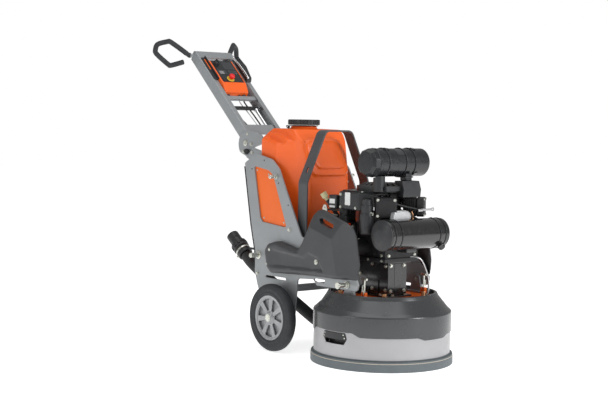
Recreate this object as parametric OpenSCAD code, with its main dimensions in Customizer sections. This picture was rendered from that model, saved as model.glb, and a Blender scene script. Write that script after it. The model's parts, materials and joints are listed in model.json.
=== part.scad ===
// Walk-behind planetary concrete grinder with a combustion engine.
// Origin: on the floor under the main spindle. +X towards the grinding head's front, +Z up.

/* [Grinding head] */
// Outer radius of the rubber sealing lip
lip_r = 330; // [328:1:334]
// Outer radius of the sheet skirt
skirt_r = 316; // [314:1:317]
// Radius of the opening in the top of the dust cover
opening_r = 240; // [236:1:242]
// Height of the top rim of the dust cover
cover_top = 325; // [322:1:326]
// Upward travel of the floating shroud
float_travel = 10; // [6:1:10]
// Distance from the main spindle to each satellite shaft
satellite_orbit = 172; // [170:1:174]
// Radius of a satellite tool disc
satellite_r = 118; // [110:1:120]

/* [Chassis] */
// Half width over the outer faces of the side plates
plate_y = 225; // [224:1:227]
// Thickness of a side plate
plate_t = 8; // [6:1:8]
// Radius of a wheel
wheel_r = 162; // [158:1:165]
// Width of a wheel
wheel_w = 50; // [44:1:54]
// Distance of the wheel axis behind the spindle
axle_back = 465; // [460:1:470]
// Distance of the head's tilt pins in front of the spindle
tilt_x = 8; // [4:1:12]
// Height of the head's tilt pins
tilt_z = 366; // [364:1:368]
// Half width of the tank at the side plates
tank_y = 204; // [190:1:206]

/* [Handle] */
// Distance of the handle pivot behind the spindle
hinge_back = 906; // [900:1:912]
// Height of the handle pivot
hinge_z = 987; // [980:1:992]
// Slope of the handle at rest, in degrees above level
incline = 42.2; // [40:0.1:44]
// Length of the handle rails above the pivot
rail_len = 675; // [660:1:690]
// Half width over the handle rails
rail_y = 120; // [118:1:120]
// Radius of a hand grip
grip_r = 14; // [12:0.5:16]

/* [Engine] */
// Length of the exhaust silencer
muffler_len = 352; // [340:1:360]
// Radius of the exhaust silencer
muffler_r = 68; // [62:1:70]
// Length of the air cleaner canister
cleaner_len = 360; // [340:1:370]
// Radius of the air cleaner canister
cleaner_r = 64; // [60:1:66]

/* [Hidden] */
$fn = 64;
axle_x = -axle_back;
hinge_x = -hinge_back;
plate_in = plate_y - plate_t;
run_gap = 0.05;
cover_r = skirt_r + 3.6;
pin_r = 10;
deck_top = 306;
deck_t = 10;
latch_x = 80;
port_z = 93;
port_low = port_z + 2 - float_travel;
deck_r = 228;
casing_r = 226;
disc_bolt_at = 70;
disc_bolt_r = 5.5;
plunger_at = [-522, 832];
plunger_r = 5;
filler_x = -597;
stop_at = [-434, -22];
stop_stem_r = 7;
knob_at = [-552, -56];
knob_stem_r = 5;
cable_r = 3;
inset_screws = [[-686, 858], [-594, 842], [-470, 614], [-626, 628]];
cover_bolts = [[-518, 470], [-171, 455], [-545, 425]];
sector_bolts = [[-890, 1033], [-857, 982], [-922, 944]];
grip_angle = -85;
riser_top = 470;
plate_hole_r = 4.2;
hose_r = 30;
belt_t = 6;
pulley_r = 42;
belt_z = 92;
belt_h = 24;
spindle_r = 20;
satellite_shaft_r = 15;
crank_r = 20;
bank_angle = 40;
wheel_gap = 32;
// Dipstick tube: its mouth, its foot in the crankcase and the direction down it
dip_mouth = [-196, -178, 738];
dip_foot = [-114, -88, 556];
dip_axis = (dip_foot - dip_mouth) / norm(dip_foot - dip_mouth);

// Outline of a side plate in the XZ plane
plate_outline = [
    [-773, 895], [-687, 941], [-560, 915], [-504, 872], [-491, 847], [-326, 557],
    [-200, 540], [-68, 470], [-5, 464], [24, 440], [60, 416], [83, 370], [76, 348],
    [64, 342], [-208, 340], [-233, 366], [-340, 358], [-350, 350], [-361, 256],
    [-376, 110], [-430, 84], [-500, 84], [-610, 190], [-663, 294], [-687, 361],
    [-685, 459], [-719, 585], [-780, 889]
];
window_outline = [
    [-703, 878], [-585, 861], [-550, 839], [-443, 600], [-451, 593], [-631, 608], [-649, 628]
];
inset_outline = [
    [-712, 888], [-580, 872], [-540, 846], [-430, 600], [-446, 582], [-640, 598], [-660, 624]
];
tank_outline = [
    [-680, 411], [-690, 940], [-700, 1040], [-650, 1064], [-490, 1060], [-440, 1005],
    [-398, 870], [-392, 800], [-392, 411]
];
side_cover_outline = [
    [-571, 476], [-542, 510], [-482, 526], [-315, 494], [-285, 537], [-216, 673],
    [-194, 692], [-170, 698], [-143, 692], [-1, 648], [40, 627], [62, 585], [86, 462],
    [80, 392], [-9, 389], [-297, 382], [-521, 369], [-550, 390]
];
side_cover_hollow = [
    [-561, 474], [-536, 501], [-480, 516], [-309, 483], [-276, 535], [-208, 667],
    [-140, 683], [-2, 639], [32, 621], [53, 583], [77, 462], [72, 399],
    [-9, 397], [-297, 390], [-519, 378], [-542, 396]
];
sector_outline = [
    [-954, 1033], [-968, 981], [-957, 941], [-890, 916], [-833, 966], [-755, 988],
    [-767, 1025], [-808, 1043], [-883, 1049]
];
flange_outline = [[-784, 884], [-777, 878], [-703, 925], [-710, 934]];
gusset_outline = [[-890, 916], [-833, 966], [-703, 938], [-790, 874]];
// Centre line of a bow grip: outwards from the handle's corner, and up
grip_line = [
    [20, 0], [34, 5], [86, 42], [133, 73], [144, 73], [197, 58],
    [210, 30], [204, 6], [141, -49], [125, -54], [56, -34]
];
// Route of the dust hose from the skirt's port to the coupling at the rear
hose_route = [
    [-345, 0, 93], [-400, 0, 102], [-480, -8, 132], [-560, -24, 176], [-640, -48, 228],
    [-720, -78, 284], [-800, -106, 342], [-860, -120, 386], [-900, -120, 416]
];
coupling_axis = [-0.8, 0, 0.6];
coupling_start = [-900, -120, 416];

// ---- shared shapes ----

module mirrored() {
    children();
    mirror([0, 1, 0]) children();
}

// An XZ outline from y = low to y = high
module slab_xz(outline, low, high) {
    translate([0, high, 0]) rotate([90, 0, 0]) linear_extrude(high - low) polygon(outline);
}

// A YZ outline from x = low to x = high
module slab_yz(outline, low, high) {
    translate([low, 0, 0]) rotate([90, 0, 90]) linear_extrude(high - low) polygon(outline);
}

module box(low, high) {
    translate(low) cube(high - low);
}

module rod(from, to, r) {
    step = to - from;
    translate(from)
        rotate([0, acos(step.z / norm(step)), atan2(step.y, step.x)])
            cylinder(h = norm(step), r = r);
}

function unit(v) = v / norm(v);

// Direction of a path at point i, averaged over the stretches on both sides of it
function heading(path, i) =
    unit((i < len(path) - 1 ? unit(path[i + 1] - path[i]) : [0, 0, 0])
        + (i > 0 ? unit(path[i] - path[i - 1]) : [0, 0, 0]));

// A catmull-rom curve through the points, with steps points to each stretch
function smooth(points, steps) = [
    for (i = [0 : len(points) - 2]) for (k = [0 : steps - 1])
        let (
            t = k / steps,
            a = points[max(i - 1, 0)],
            b = points[i],
            c = points[i + 1],
            d = points[min(i + 2, len(points) - 1)]
        )
        0.5 * (2 * b + (c - a) * t + (2 * a - 5 * b + 4 * c - d) * t * t
            + (3 * b - a - 3 * c + d) * t * t * t),
    points[len(points) - 1]
];

// A round tube or cord along a path; side is a direction that the path never runs in
module sweep(path, r, side, sides = 12) {
    last = len(path) - 1;
    points = [
        for (i = [0 : last])
            let (t = heading(path, i), u = unit(cross(t, side)), v = cross(t, u))
            for (k = [0 : sides - 1])
                path[i] + r * (cos(360 * k / sides) * u + sin(360 * k / sides) * v)
    ];
    walls = [
        for (i = [0 : last - 1]) for (k = [0 : sides - 1])
            let (n = (k + 1) % sides)
            [i * sides + k, i * sides + n, (i + 1) * sides + n, (i + 1) * sides + k]
    ];
    caps = [
        [for (k = [sides - 1 : -1 : 0]) k],
        [for (k = [0 : sides - 1]) last * sides + k]
    ];
    polyhedron(points, concat(walls, caps), convexity = 6);
}

module y_cyl(x, z, low, high, r) {
    translate([x, high, z]) rotate([90, 0, 0]) cylinder(h = high - low, r = r);
}

module ring(r_out, r_in, h) {
    difference() {
        cylinder(h = h, r = r_out);
        translate([0, 0, -1]) cylinder(h = h + 2, r = r_in);
    }
}

// The handle's own frame: -X up along the rails, +Z square to them, origin at the pivot
module on_handle() {
    translate([hinge_x, 0, hinge_z]) rotate([0, incline, 0]) children();
}

// Satellite position number i, from 0 to 2
module at_satellite(i) {
    rotate([0, 0, 60 + 120 * i]) translate([satellite_orbit, 0, 0]) children();
}

// ---- chassis ----

// Right-hand side plate, outer face at y = -plate_y
module side_plate() {
    holes = [[-623, 908], [-721, 863], [-506, 802], [-430, 700], [-670, 357]];
    difference() {
        slab_xz(plate_outline, -plate_y, -plate_in);
        slab_xz(window_outline, -plate_y - 1, -plate_in + 1);
        box([-598, -plate_y - 1, 338], [-439, -plate_in + 1, 350]);
        box([-226, -plate_y - 1, 354], [-150, -plate_in + 1, 372]);
        for (h = holes) y_cyl(h.x, h.y, -plate_y - 1, -plate_in + 1, plate_hole_r);
        y_cyl(tilt_x, tilt_z, -plate_y - 1, -plate_in + 1, pin_r);
        y_cyl(plunger_at.x, plunger_at.y, -plate_y - 1, -plate_in + 1, 9);
        y_cyl(axle_x, wheel_r, -plate_y - 1, -plate_in + 1, pin_r);
    }
}

module side_plate_right() {
    color("slategray") side_plate();
}

module side_plate_left() {
    color("slategray") mirror([0, 1, 0]) side_plate();
}

module base_frame() {
    color("dimgray") {
        box([-680, -plate_in, 404], [-330, plate_in, 410]);
        box([-352, -186, 410], [-330, 186, 446]);
        box([-681, -plate_in, 380], [-660, plate_in, 404]);
        box([-420, -plate_in, 290], [-384, plate_in, 320]);
        slab_xz([[-722, 598], [-716, 596], [-766, 872], [-772, 874]], -plate_in, plate_in);
    }
}

module hinge_bracket() {
    difference() {
        union() {
            slab_xz(sector_outline, -rail_y - 9.5, -rail_y - 1.5);
            slab_xz(flange_outline, -plate_in, -rail_y - 9.5);
            slab_xz(gusset_outline, -rail_y - 17.5, -rail_y - 1.5);
        }
        y_cyl(hinge_x, hinge_z, -200, -100, pin_r);
    }
    for (p = sector_bolts) y_cyl(p.x, p.y, -rail_y - 17, -rail_y - 9.5, 9);
}

module hinge_brackets() {
    color("gray") mirrored() hinge_bracket();
}

module wheel_stubs() {
    color("silver") mirrored() {
        y_cyl(axle_x, wheel_r, -plate_y - 88, -plate_in + 12, pin_r);
        y_cyl(axle_x, wheel_r, -plate_y - 88, -plate_y - 84, 17);
        y_cyl(axle_x, wheel_r, -plate_in, -plate_in + 6, 17);
        y_cyl(axle_x, wheel_r, -plate_y - 31, -plate_y, 17);
    }
}

module main_tank() {
    plan = [
        [-701, -tank_y + 24], [-670, -tank_y], [-560, -tank_y], [-470, -150], [-391, -118],
        [-391, 118], [-470, 150], [-560, tank_y], [-670, tank_y], [-701, tank_y - 24]
    ];
    color("orangered") {
        intersection() {
            slab_xz(tank_outline, -tank_y, tank_y);
            translate([0, 0, 410]) linear_extrude(700) polygon(plan);
        }
        translate([filler_x, 0, 1058]) cylinder(h = 24, r = 62);
    }
}

module inset_panels() {
    color("orange") mirrored() {
        slab_xz(inset_outline, -plate_in, -plate_in + 4);
    }
}

module loop_bar() {
    top_y = 82;
    top_z = 1061;
    kink_y = 197;
    kink_z = 814;
    bar_t = 8;
    foot_z = 416;
    slope = atan2(top_z - kink_z, kink_y - top_y);
    top_in = bar_t * tan(slope / 2);
    kink_in = bar_t * tan((90 - slope) / 2);
    half = [
        [0, top_z], [top_y, top_z], [kink_y, kink_z], [kink_y, foot_z], [kink_y - bar_t, foot_z],
        [kink_y - bar_t, kink_z - kink_in], [top_y - top_in, top_z - bar_t], [0, top_z - bar_t]
    ];
    slot_t = 0.24;
    slot = [-357, -kink_y + slot_t * (kink_y - top_y), kink_z + slot_t * (top_z - kink_z)];
    color("darkslategray") difference() {
        mirrored() slab_yz(half, -390, -325);
        mirrored() translate(slot) rotate([90 - slope, 0, 0]) for (dz = [-9, 9])
            translate([0, 0, dz]) rotate([90, 0, 0]) cylinder(h = 60, r = 7, center = true);
    }
    color("darkslategray") mirrored() box([-388, -kink_y - 4, foot_z - 6], [-352, -150, foot_z]);
}

module side_cover() {
    outer = plate_y + 40;
    edge = plate_y + 12;
    plan = [
        [-600, -plate_y - 1], [-600, -outer + 8], [-560, -outer], [-38, -outer], [90, -edge],
        [90, -plate_y - 1]
    ];
    inner_plan = [
        [-600, -plate_y + 1], [-600, -outer + 13], [-558, -outer + 5], [-40, -outer + 5],
        [80, -edge + 5], [90, -plate_y + 1]
    ];
    slot = [[-172, 655], [-150, 658], [-70, 634], [-68, 616], [-92, 614], [-158, 635]];
    difference() {
        intersection() {
            slab_xz(side_cover_outline, -outer, -plate_y - 1);
            translate([0, 0, 360]) linear_extrude(400) polygon(plan);
        }
        intersection() {
            slab_xz(side_cover_hollow, -outer, -plate_y + 1);
            translate([0, 0, 360]) linear_extrude(400) polygon(inner_plan);
        }
        slab_xz(slot, -outer - 1, -plate_y + 1);
    }
    for (p = cover_bolts) y_cyl(p.x, p.y, -outer - 3, -plate_y, 11);
}

module side_cover_right() {
    color("dimgray") side_cover();
}

module side_cover_left() {
    color("dimgray") mirror([0, 1, 0]) side_cover();
}

module dust_hose() {
    color("black") sweep(smooth(hose_route, 2), hose_r, [0, 1, 0]);
}

module dust_coupling() {
    color("black") difference() {
        union() {
            rod(coupling_start + 2 * coupling_axis, coupling_start + 44 * coupling_axis, 38);
            rod(coupling_start + 44 * coupling_axis, coupling_start + 84 * coupling_axis, 42);
            rod(coupling_start + 84 * coupling_axis, coupling_start + 150 * coupling_axis, 32);
            box([-912, -126, 446], [-682, -114, 458]);
            box([-702, -126, 384], [-681, -114, 458]);
        }
        rod(coupling_start + 10 * coupling_axis, coupling_start + 160 * coupling_axis, 25);
    }
}

module edge_strips() {
    strip = [
        [-784, 874], [-726, 585], [-692, 459], [-694, 361],
        [-688, 361], [-686, 459], [-720, 585], [-778, 873]
    ];
    color("black") mirrored() slab_xz(strip, -plate_y - 2, -plate_in + 6);
}

module chassis_fasteners() {
    color("silver") mirrored() {
        y_cyl(-658, 443, -plate_y - 50, -plate_y, 12);
        y_cyl(-658, 443, -plate_y - 6, -plate_y, 20);
        y_cyl(-416, 584, -plate_y - 5, -plate_y, 11);
        y_cyl(-663, 352, -plate_y - 5, -plate_y, 10);
        y_cyl(tilt_x, tilt_z, -plate_y - 60, -plate_in + 12, pin_r);
        y_cyl(tilt_x, tilt_z, -plate_y - 14, -plate_y, 16);
        y_cyl(tilt_x, tilt_z, -plate_y - 60, -plate_y - 48, 15);
        y_cyl(hinge_x, hinge_z, -rail_y - 16, -rail_y + 10, pin_r);
        y_cyl(hinge_x, hinge_z, -rail_y - 24, -rail_y - 9.5, 16);
        for (p = inset_screws) y_cyl(p.x, p.y, -plate_in - 2, -plate_in, 5);
        difference() {
            y_cyl(plunger_at.x, plunger_at.y, -plate_y - 20, -plate_in, 8.9);
            y_cyl(plunger_at.x, plunger_at.y, -plate_y - 21, -plate_in + 1, plunger_r + run_gap);
        }
    }
}

module plunger_pin() {
    color("silver") {
        y_cyl(plunger_at.x, plunger_at.y, -plate_y - 44, -plate_in + 2, plunger_r);
        y_cyl(plunger_at.x, plunger_at.y, -plate_y - 44, -plate_y - 21, 9);
    }
}

module tank_cap() {
    ribs = 30;
    color("black") translate([filler_x, 0, 1083]) difference() {
        union() {
            cylinder(h = 27, r = 78);
            for (i = [0 : ribs - 1]) rotate([0, 0, i * 360 / ribs])
                translate([78, 0, 0]) cylinder(h = 26, r = 3);
        }
        translate([0, 0, -1]) ring(72, 66, 16);
    }
}

// ---- handle ----

module c_rail(side) {
    web = 4;
    flange = 28;
    low = -24;
    high = 37;
    inner = side * (rail_y - web / 2);
    translate([-rail_len, inner - web / 2, low]) cube([rail_len + 30, web, high - low]);
    for (n = [low, high - web])
        translate([-rail_len, side > 0 ? rail_y - flange : -rail_y, n])
            cube([rail_len - 24, flange, web]);
}

module handle_frame() {
    span = rail_y - 4;
    color("slategray") on_handle() {
        difference() {
            union() {
                c_rail(-1);
                c_rail(1);
            }
            rotate([90, 0, 0]) cylinder(h = 400, r = pin_r + run_gap, center = true);
            translate([-60, 0, 10]) rotate([90, 0, 0]) cylinder(h = 400, r = 5, center = true);
        }
        translate([-rail_len, -span, 33]) cube([52, 2 * span, 4]);
        translate([-rail_len, -span, -24]) cube([4, 2 * span, 60]);
        translate([-330, -span, 12]) cube([26, 2 * span, 18]);
        translate([-108, -span, 24]) cube([72, 2 * span, 4]);
        translate([-108, -span, -20]) cube([4, 2 * span, 46]);
        mirrored() translate([0, -span, 0]) rotate([90, 0, 0]) translate([0, 0, -8])
            ring(20, pin_r + run_gap, 8);
    }
}

// Profile of the console along the rails, in the handle's frame
console_profile = [[-592, -8], [-592, 44], [-580, 54], [-402, 54], [-352, 34], [-346, -8]];

module console_housing() {
    color("orangered") on_handle() difference() {
        slab_xz(console_profile, -88, 64);
        translate([-580, -80, -20]) cube([168, 136, 90]);
        translate([-413, -80, -20]) cube([57, 136, 48]);
        translate([-584, -82, 44]) cube([176, 140, 20]);
    }
}

module console_face() {
    color("black") on_handle() difference() {
        union() {
            translate([-583, -81, 44]) cube([174, 138, 9]);
            translate([stop_at.x, stop_at.y, 53]) cylinder(h = 7, r = 22);
            translate([-622, -92, -4]) cube([180, 3.8, 54]);
        }
        translate([stop_at.x, stop_at.y, 40]) cylinder(h = 30, r = stop_stem_r + run_gap);
        translate([knob_at.x, knob_at.y, 40]) cylinder(h = 30, r = knob_stem_r + run_gap);
    }
}

module grip() {
    corner = [hinge_x, -rail_y + 12, hinge_z] + [-rail_len * cos(incline), 0, rail_len * sin(incline)];
    out = [-0.645, -0.764, 0];
    line = [for (p = grip_line) corner + p.x * out + [0, 0, p.y + 4]];
    sweep(smooth(line, 3), grip_r, cross(out, [0, 0, 1]));
}

module grips() {
    color("black") mirrored() grip();
}

module handle_fittings() {
    lever_box = [[-612, 37.2], [-612, 66], [-520, 76], [-440, 60], [-428, 37.2]];
    color("darkslategray") on_handle() {
        mirrored() box([-rail_len - 20, -112, -18], [-rail_len - 0.2, -92, 22]);
        slab_xz(lever_box, 86, 120);
    }
}

module control_cables() {
    color("black") on_handle() {
        sweep(smooth([[-345, -20, 2], [-322, -22, -12], [-230, 24, -15], [-109, 36, -12]], 5),
              cable_r, [0, 0, 1], 8);
        sweep(smooth([[-345, 30, 2], [-320, 34, -12], [-220, 50, -15], [-109, 56, -12]], 5),
              cable_r + 1, [0, 0, 1], 8);
    }
}

module stop_button() {
    color("red") on_handle() translate([stop_at.x, stop_at.y, 0]) {
        translate([0, 0, 46]) cylinder(h = 22, r = stop_stem_r);
        translate([0, 0, 67]) cylinder(h = 9, r = 16);
        translate([0, 0, 76]) intersection() {
            translate([0, 0, -14]) sphere(21.3);
            cylinder(h = 10, r = 16);
        }
    }
}

module throttle_knob() {
    color("black") on_handle() translate([knob_at.x, knob_at.y, 0]) {
        translate([0, 0, 46]) cylinder(h = 12, r = knob_stem_r);
        translate([0, 0, 54]) cylinder(h = 22, r = 15);
        translate([-14, -3, 76]) cube([28, 6, 6]);
    }
}

// Pivot of the release lever in the handle's frame
lever_pivot = [-600, 76, 66];

module release_lever() {
    color("silver") on_handle() translate(lever_pivot) {
        rotate([90, 0, 0]) cylinder(h = 12, r = 9, center = true);
        rod([0, 0, 0], [178, -4, 14], 6);
        translate([178, -4, 14]) sphere(6);
    }
}

module lock_bar() {
    color("silver") on_handle() {
        translate([-262, 0, 2]) rotate([90, 0, 0])
            cylinder(h = 2 * rail_y - 12, r = 11, center = true);
        mirrored() rod([-262, -74, 2], [-122, -74, 2], 9);
    }
}

// ---- grinding head ----

module gear_deck() {
    color("orangered") difference() {
        union() {
            translate([0, 0, deck_top - deck_t]) cylinder(h = deck_t, r = deck_r);
            mirrored() translate([latch_x, -190, deck_top]) {
                box([-14, -4, 0], [-6, 12, 30]);
                box([6, -4, 0], [14, 12, 30]);
            }
        }
        translate([0, 0, deck_top - deck_t - 1]) cylinder(h = deck_t + 2, r = 60);
    }
}

module head_casing() {
    top = deck_top - deck_t;
    floor_z = 128;
    drum_r = 127.8;
    color("silver") difference() {
        union() {
            cylinder_z(floor_z, top, casing_r);
            cylinder_z(belt_z - 4, floor_z + 20, drum_r);
            box([-262, -30, port_z + 30], [-218, 30, floor_z + 6]);
            translate([-344, 0, port_z]) rotate([0, 90, 0]) cylinder(h = 100, r = hose_r + 5);
        }
        difference() {
            cylinder_z(floor_z - 1, top - 16, casing_r - 10);
            cylinder_z(floor_z - 2, top, 78);
            cylinder_z(floor_z - 2, floor_z + 20, drum_r);
        }
        cylinder_z(80, top + 20, 42);
        translate([-350, 0, port_z]) rotate([0, 90, 0]) cylinder(h = 120, r = hose_r + 0.6);
    }
}

module spindle_bearings() {
    color("silver") for (z = [104, 262])
        translate([0, 0, z]) difference() {
            cylinder(h = 24, r = 42);
            translate([0, 0, -1]) cylinder(h = 26, r = spindle_r + run_gap);
            for (dz = [-1, 21]) translate([0, 0, dz]) ring(36, 26, 4);
        }
}

module riser_box() {
    color("black") difference() {
        union() {
            box([-128, -60, deck_top], [100, 56, riser_top]);
            box([-146, -78, deck_top], [118, 74, deck_top + 8]);
            box([-140, -72, riser_top - 8], [112, 68, riser_top]);
        }
        cylinder_z(deck_top - 1, riser_top + 1, 50);
        box([-122, -54, deck_top + 8], [94, 50, riser_top - 8]);
    }
    color("silver") for (p = [[-110, 322], [-30, 322], [80, 322], [-110, 440], [-20, 440], [80, 440]])
        y_cyl(p[0], p[1], -64, -60, 7);
}

module tilt_lugs() {
    lug = [
        [tilt_x - 40, deck_top], [tilt_x + 40, deck_top], [tilt_x + 22, tilt_z + 16],
        [tilt_x + 8, tilt_z + 24], [tilt_x - 8, tilt_z + 24], [tilt_x - 22, tilt_z + 16]
    ];
    color("dimgray") mirrored() difference() {
        union() {
            slab_xz(lug, -plate_in + 2, -plate_in + 14);
            box([tilt_x - 40, -plate_in + 2, deck_top], [tilt_x + 40, -180, deck_top + 8]);
        }
        y_cyl(tilt_x, tilt_z, -plate_in, -plate_in + 20, pin_r + run_gap);
    }
}

// ---- engine ----

module crankcase() {
    color("black") difference() {
        union() {
            box([-118, -100, riser_top], [122, 100, 640]);
            box([-130, -112, riser_top], [134, 112, riser_top + 16]);
            cylinder_z(640, 690, 92);
            rod(dip_mouth, dip_foot, 10);
            y_cyl(-20, 530, -180, -100, 38);
        }
        cylinder_z(riser_top - 1, 700, crank_r + run_gap);
        rod(dip_mouth - 10 * dip_axis, dip_mouth + 124 * dip_axis, 6.4);
    }
}

module cylinders() {
    fins = 6;
    color("dimgray") for (side = [-1, 1]) rotate([0, 0, side * bank_angle]) {
        box([93, -40, 674], [152, 40, 760]);
        for (i = [0 : fins - 1]) box([95 + i * 10, -50, 672], [99 + i * 10, 50, 764]);
        box([150, -46, 674], [186, 46, 762]);
    }
}

module blower_housing() {
    shell = [
        [-150, -140], [-110, -180], [20, -180], [76, -120], [76, 120], [20, 180],
        [-110, 180], [-150, 140]
    ];
    inner = [for (p = shell) [p.x * 0.96, p.y * 0.965]];
    color("black") difference() {
        translate([0, 0, 700]) linear_extrude(84) polygon(shell);
        translate([0, 0, 699]) linear_extrude(79) polygon(inner);
        translate([-10, 0, 776]) cylinder(h = 40, r = 84);
        for (side = [-1, 1]) rotate([0, 0, side * bank_angle])
            box([80, -54, 660], [210, 54, 772]);
    }
}

module intake_grille() {
    slots = 24;
    color("black") translate([-10, 0, 784]) difference() {
        union() {
            cylinder(h = 26, r = 122);
            translate([0, 0, 26]) cylinder(h = 14, r1 = 118, r2 = 84);
        }
        translate([0, 0, -1]) cylinder(h = 26, r = 115);
        translate([0, 0, 24]) cylinder(h = 11, r1 = 110, r2 = 80);
        for (i = [0 : slots - 1]) rotate([0, 0, i * 360 / slots])
            translate([52, -4, 20]) cube([56, 8, 40]);
    }
}

module starter_motor() {
    color("black") {
        translate([72, -172, 600]) cylinder(h = 96, r = 31);
        translate([72, -172, 696]) cylinder(h = 34, r = 26);
        translate([72, -172, 730]) cylinder(h = 26, r = 21);
        box([56, -146, 604], [88, -100.2, 632]);
        translate([12, -142, 606]) cylinder(h = 66, r = 18);
        box([-4, -130, 610], [28, -100.2, 630]);
    }
}

module muffler() {
    x = 198;
    z = 602;
    low = -190;
    color("black") {
        y_cyl(x, z, low, low + muffler_len, muffler_r);
        y_cyl(x, z, low + 18, low + 26, muffler_r + 3);
        y_cyl(x, z, low + muffler_len - 26, low + muffler_len - 18, muffler_r + 3);
        translate([x, low, z]) rotate([90, 0, 0]) rotate_extrude()
            polygon([[0, 0], [0, 24], [30, 21], [52, 12], [muffler_r, 0]]);
        rod([x + 30, low + muffler_len - 40, z - 40], [x + 62, low + muffler_len - 40, z - 62], 17);
        for (side = [-1, 1]) rod([x - 36, side * 92, 566], [126, side * 84, 560], 15);
        box([122.2, -30, 516], [x - 10, 30, 540]);
    }
}

module air_cleaner() {
    x = 72;
    z = 920;
    low = -188;
    color("black") {
        difference() {
            y_cyl(x, z, low, low + cleaner_len, cleaner_r);
            y_cyl(x, z, low + 8, low + cleaner_len - 8, cleaner_r - 4);
        }
        for (y = [low + 92, low + 196, low + 250])
            y_cyl(x, z, y, y + 8, cleaner_r + 4);
        y_cyl(x, z, low + 14, low + cleaner_len - 14, 34);
        y_cyl(x, z, low - 4, low, cleaner_r - 10);
        box([92, 12, 838], [126, 48, 876]);
    }
}

module intake_duct() {
    duct = [[114, 764.5], [150, 764.5], [154, 800], [140, 837.8], [92, 837.8], [92, 828], [114, 818]];
    color("black") {
        slab_xz(duct, -24, 84);
        difference() {
            cylinder_at([90, -118, 790], 70, 27);
            y_cyl(72, 920, -190, -60, cleaner_r + 4.3);
        }
        box([113, -112, 792], [134, -20, 814]);
    }
}

module cylinder_at(p, h, r) {
    translate(p) cylinder(h = h, r = r);
}

module dipstick() {
    color("khaki") {
        rod(dip_mouth - 40 * dip_axis, dip_mouth - 14 * dip_axis, 15);
        rod(dip_mouth - 16 * dip_axis, dip_mouth - 0.4 * dip_axis, 9);
        rod(dip_mouth - 2 * dip_axis, dip_mouth + 110 * dip_axis, 3);
    }
}

module flywheel() {
    blades = 12;
    color("dimgray") {
        cylinder_z(420, 790, crank_r);
        cylinder_z(788, 794, 86);
        for (i = [0 : blades - 1]) rotate([0, 0, i * 360 / blades])
            translate([46, -2, 793]) cube([38, 4, 10]);
        translate([0, 0, 400]) cylinder(h = 26, r = 34);
    }
}

module cylinder_z(low, high, r) {
    translate([0, 0, low]) cylinder(h = high - low, r = r);
}

// ---- floating shroud ----

module head_cover() {
    profile = [
        [cover_r, 138], [cover_r, 238], [312, 250], [296, 258], [284, 268], [262, 306],
        [252, 320], [opening_r + 2, cover_top], [opening_r, cover_top], [opening_r, cover_top - 5],
        [249, 316], [258, 303], [280, 264], [294, 254], [309, 246], [cover_r - 3, 236],
        [cover_r - 3, 138]
    ];
    color("dimgray") difference() {
        rotate_extrude($fn = 128) polygon(profile);
        for (turn = [0, 180]) rotate([0, 0, turn]) {
            cover_cut(-64, -9, 150);
            cover_cut(21, 116, 166);
        }
    }
}

// Takes away the dust cover below a height, between two angles
module cover_cut(from, to, height) {
    rotate([0, 0, from]) rotate_extrude(angle = to - from)
        polygon([[300, 130], [330, 130], [330, height], [300, height]]);
}

module skirt_ring() {
    hexagon = [[-70, 132], [-56, 112], [56, 112], [70, 132], [60, 158], [-60, 158]];
    slot_r = hose_r + 9;
    color("lightgray") difference() {
        translate([0, 0, 40]) ring(skirt_r, skirt_r - 3, 190);
        mirrored() rotate([0, 0, grip_angle]) slab_yz(hexagon, 250, 340);
        for (z = [port_low, port_z]) translate([-340, 0, z])
            rotate([0, 90, 0]) cylinder(h = 60, r = slot_r);
        box([-340, -slot_r, port_low], [-280, slot_r, port_z]);
    }
    color("lightgray") translate([0, 0, 226]) ring(skirt_r, skirt_r - 16, 3);
}

module rubber_lip() {
    color("gray") rotate_extrude($fn = 128) polygon([
        [skirt_r, 46], [lip_r - 2, 46], [lip_r - 2, 38], [lip_r, 36], [lip_r, 0], [lip_r - 10, 0],
        [lip_r - 10, 30], [skirt_r, 34]
    ]);
}

module shroud_grips() {
    plate = [[-72, 132], [72, 132], [62, 162], [-62, 162]];
    color("black") mirrored() rotate([0, 0, grip_angle]) intersection() {
        translate([0, 0, 120]) ring(skirt_r + 5, skirt_r + 0.1, 50);
        slab_yz(plate, 250, 340);
    }
}

module latch() {
    base = [latch_x, -186, deck_top + 22];
    color("silver") translate(base) {
        rotate([0, 90, 0]) cylinder(h = 11, r = 4, center = true);
        box([-4, -4, 0], [4, 4, 64]);
        translate([0, 0, 68]) rotate([0, 90, 0]) cylinder(h = 36, r = 6, center = true);
        box([-2, -14, 38], [2, 0, 42]);
        box([-2, -14, 12], [2, -10, 42]);
    }
}

module latch_right() {
    latch();
}

module latch_left() {
    mirror([0, 1, 0]) latch();
}

// ---- planetary drive ----

module carrier_plate() {
    color("silver") difference() {
        union() {
            translate([0, 0, 58]) cylinder(h = 14, r = 60);
            for (i = [0 : 2]) at_satellite(i) translate([0, 0, 50]) cylinder(h = 30, r = 36);
            for (i = [0 : 2]) rotate([0, 0, 60 + 120 * i])
                translate([0, -28, 59]) cube([satellite_orbit, 56, 12]);
        }
        translate([0, 0, 40]) cylinder(h = 60, r = spindle_r);
        for (i = [0 : 2]) at_satellite(i)
            translate([0, 0, 40]) cylinder(h = 60, r = satellite_shaft_r + run_gap);
    }
}

module main_spindle() {
    color("silver") {
        cylinder_z(44, 380, spindle_r);
        cylinder_z(44, 58, 34);
        translate([0, 0, 370]) difference() {
            cylinder(h = 70, r = 46);
            translate([0, 0, 12]) cylinder(h = 60, r = 38);
        }
    }
}

function polar(r, angle) = [r * cos(angle), r * sin(angle)];

// A closed line round the three satellite pulleys, at radius r from their centres
module belt_outline(r) {
    arc = 16;
    polygon([
        for (i = [0 : 2]) for (k = [0 : arc])
            polar(satellite_orbit, 60 + 120 * i) + polar(r, 120 * i + 120 * k / arc)
    ]);
}

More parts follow.
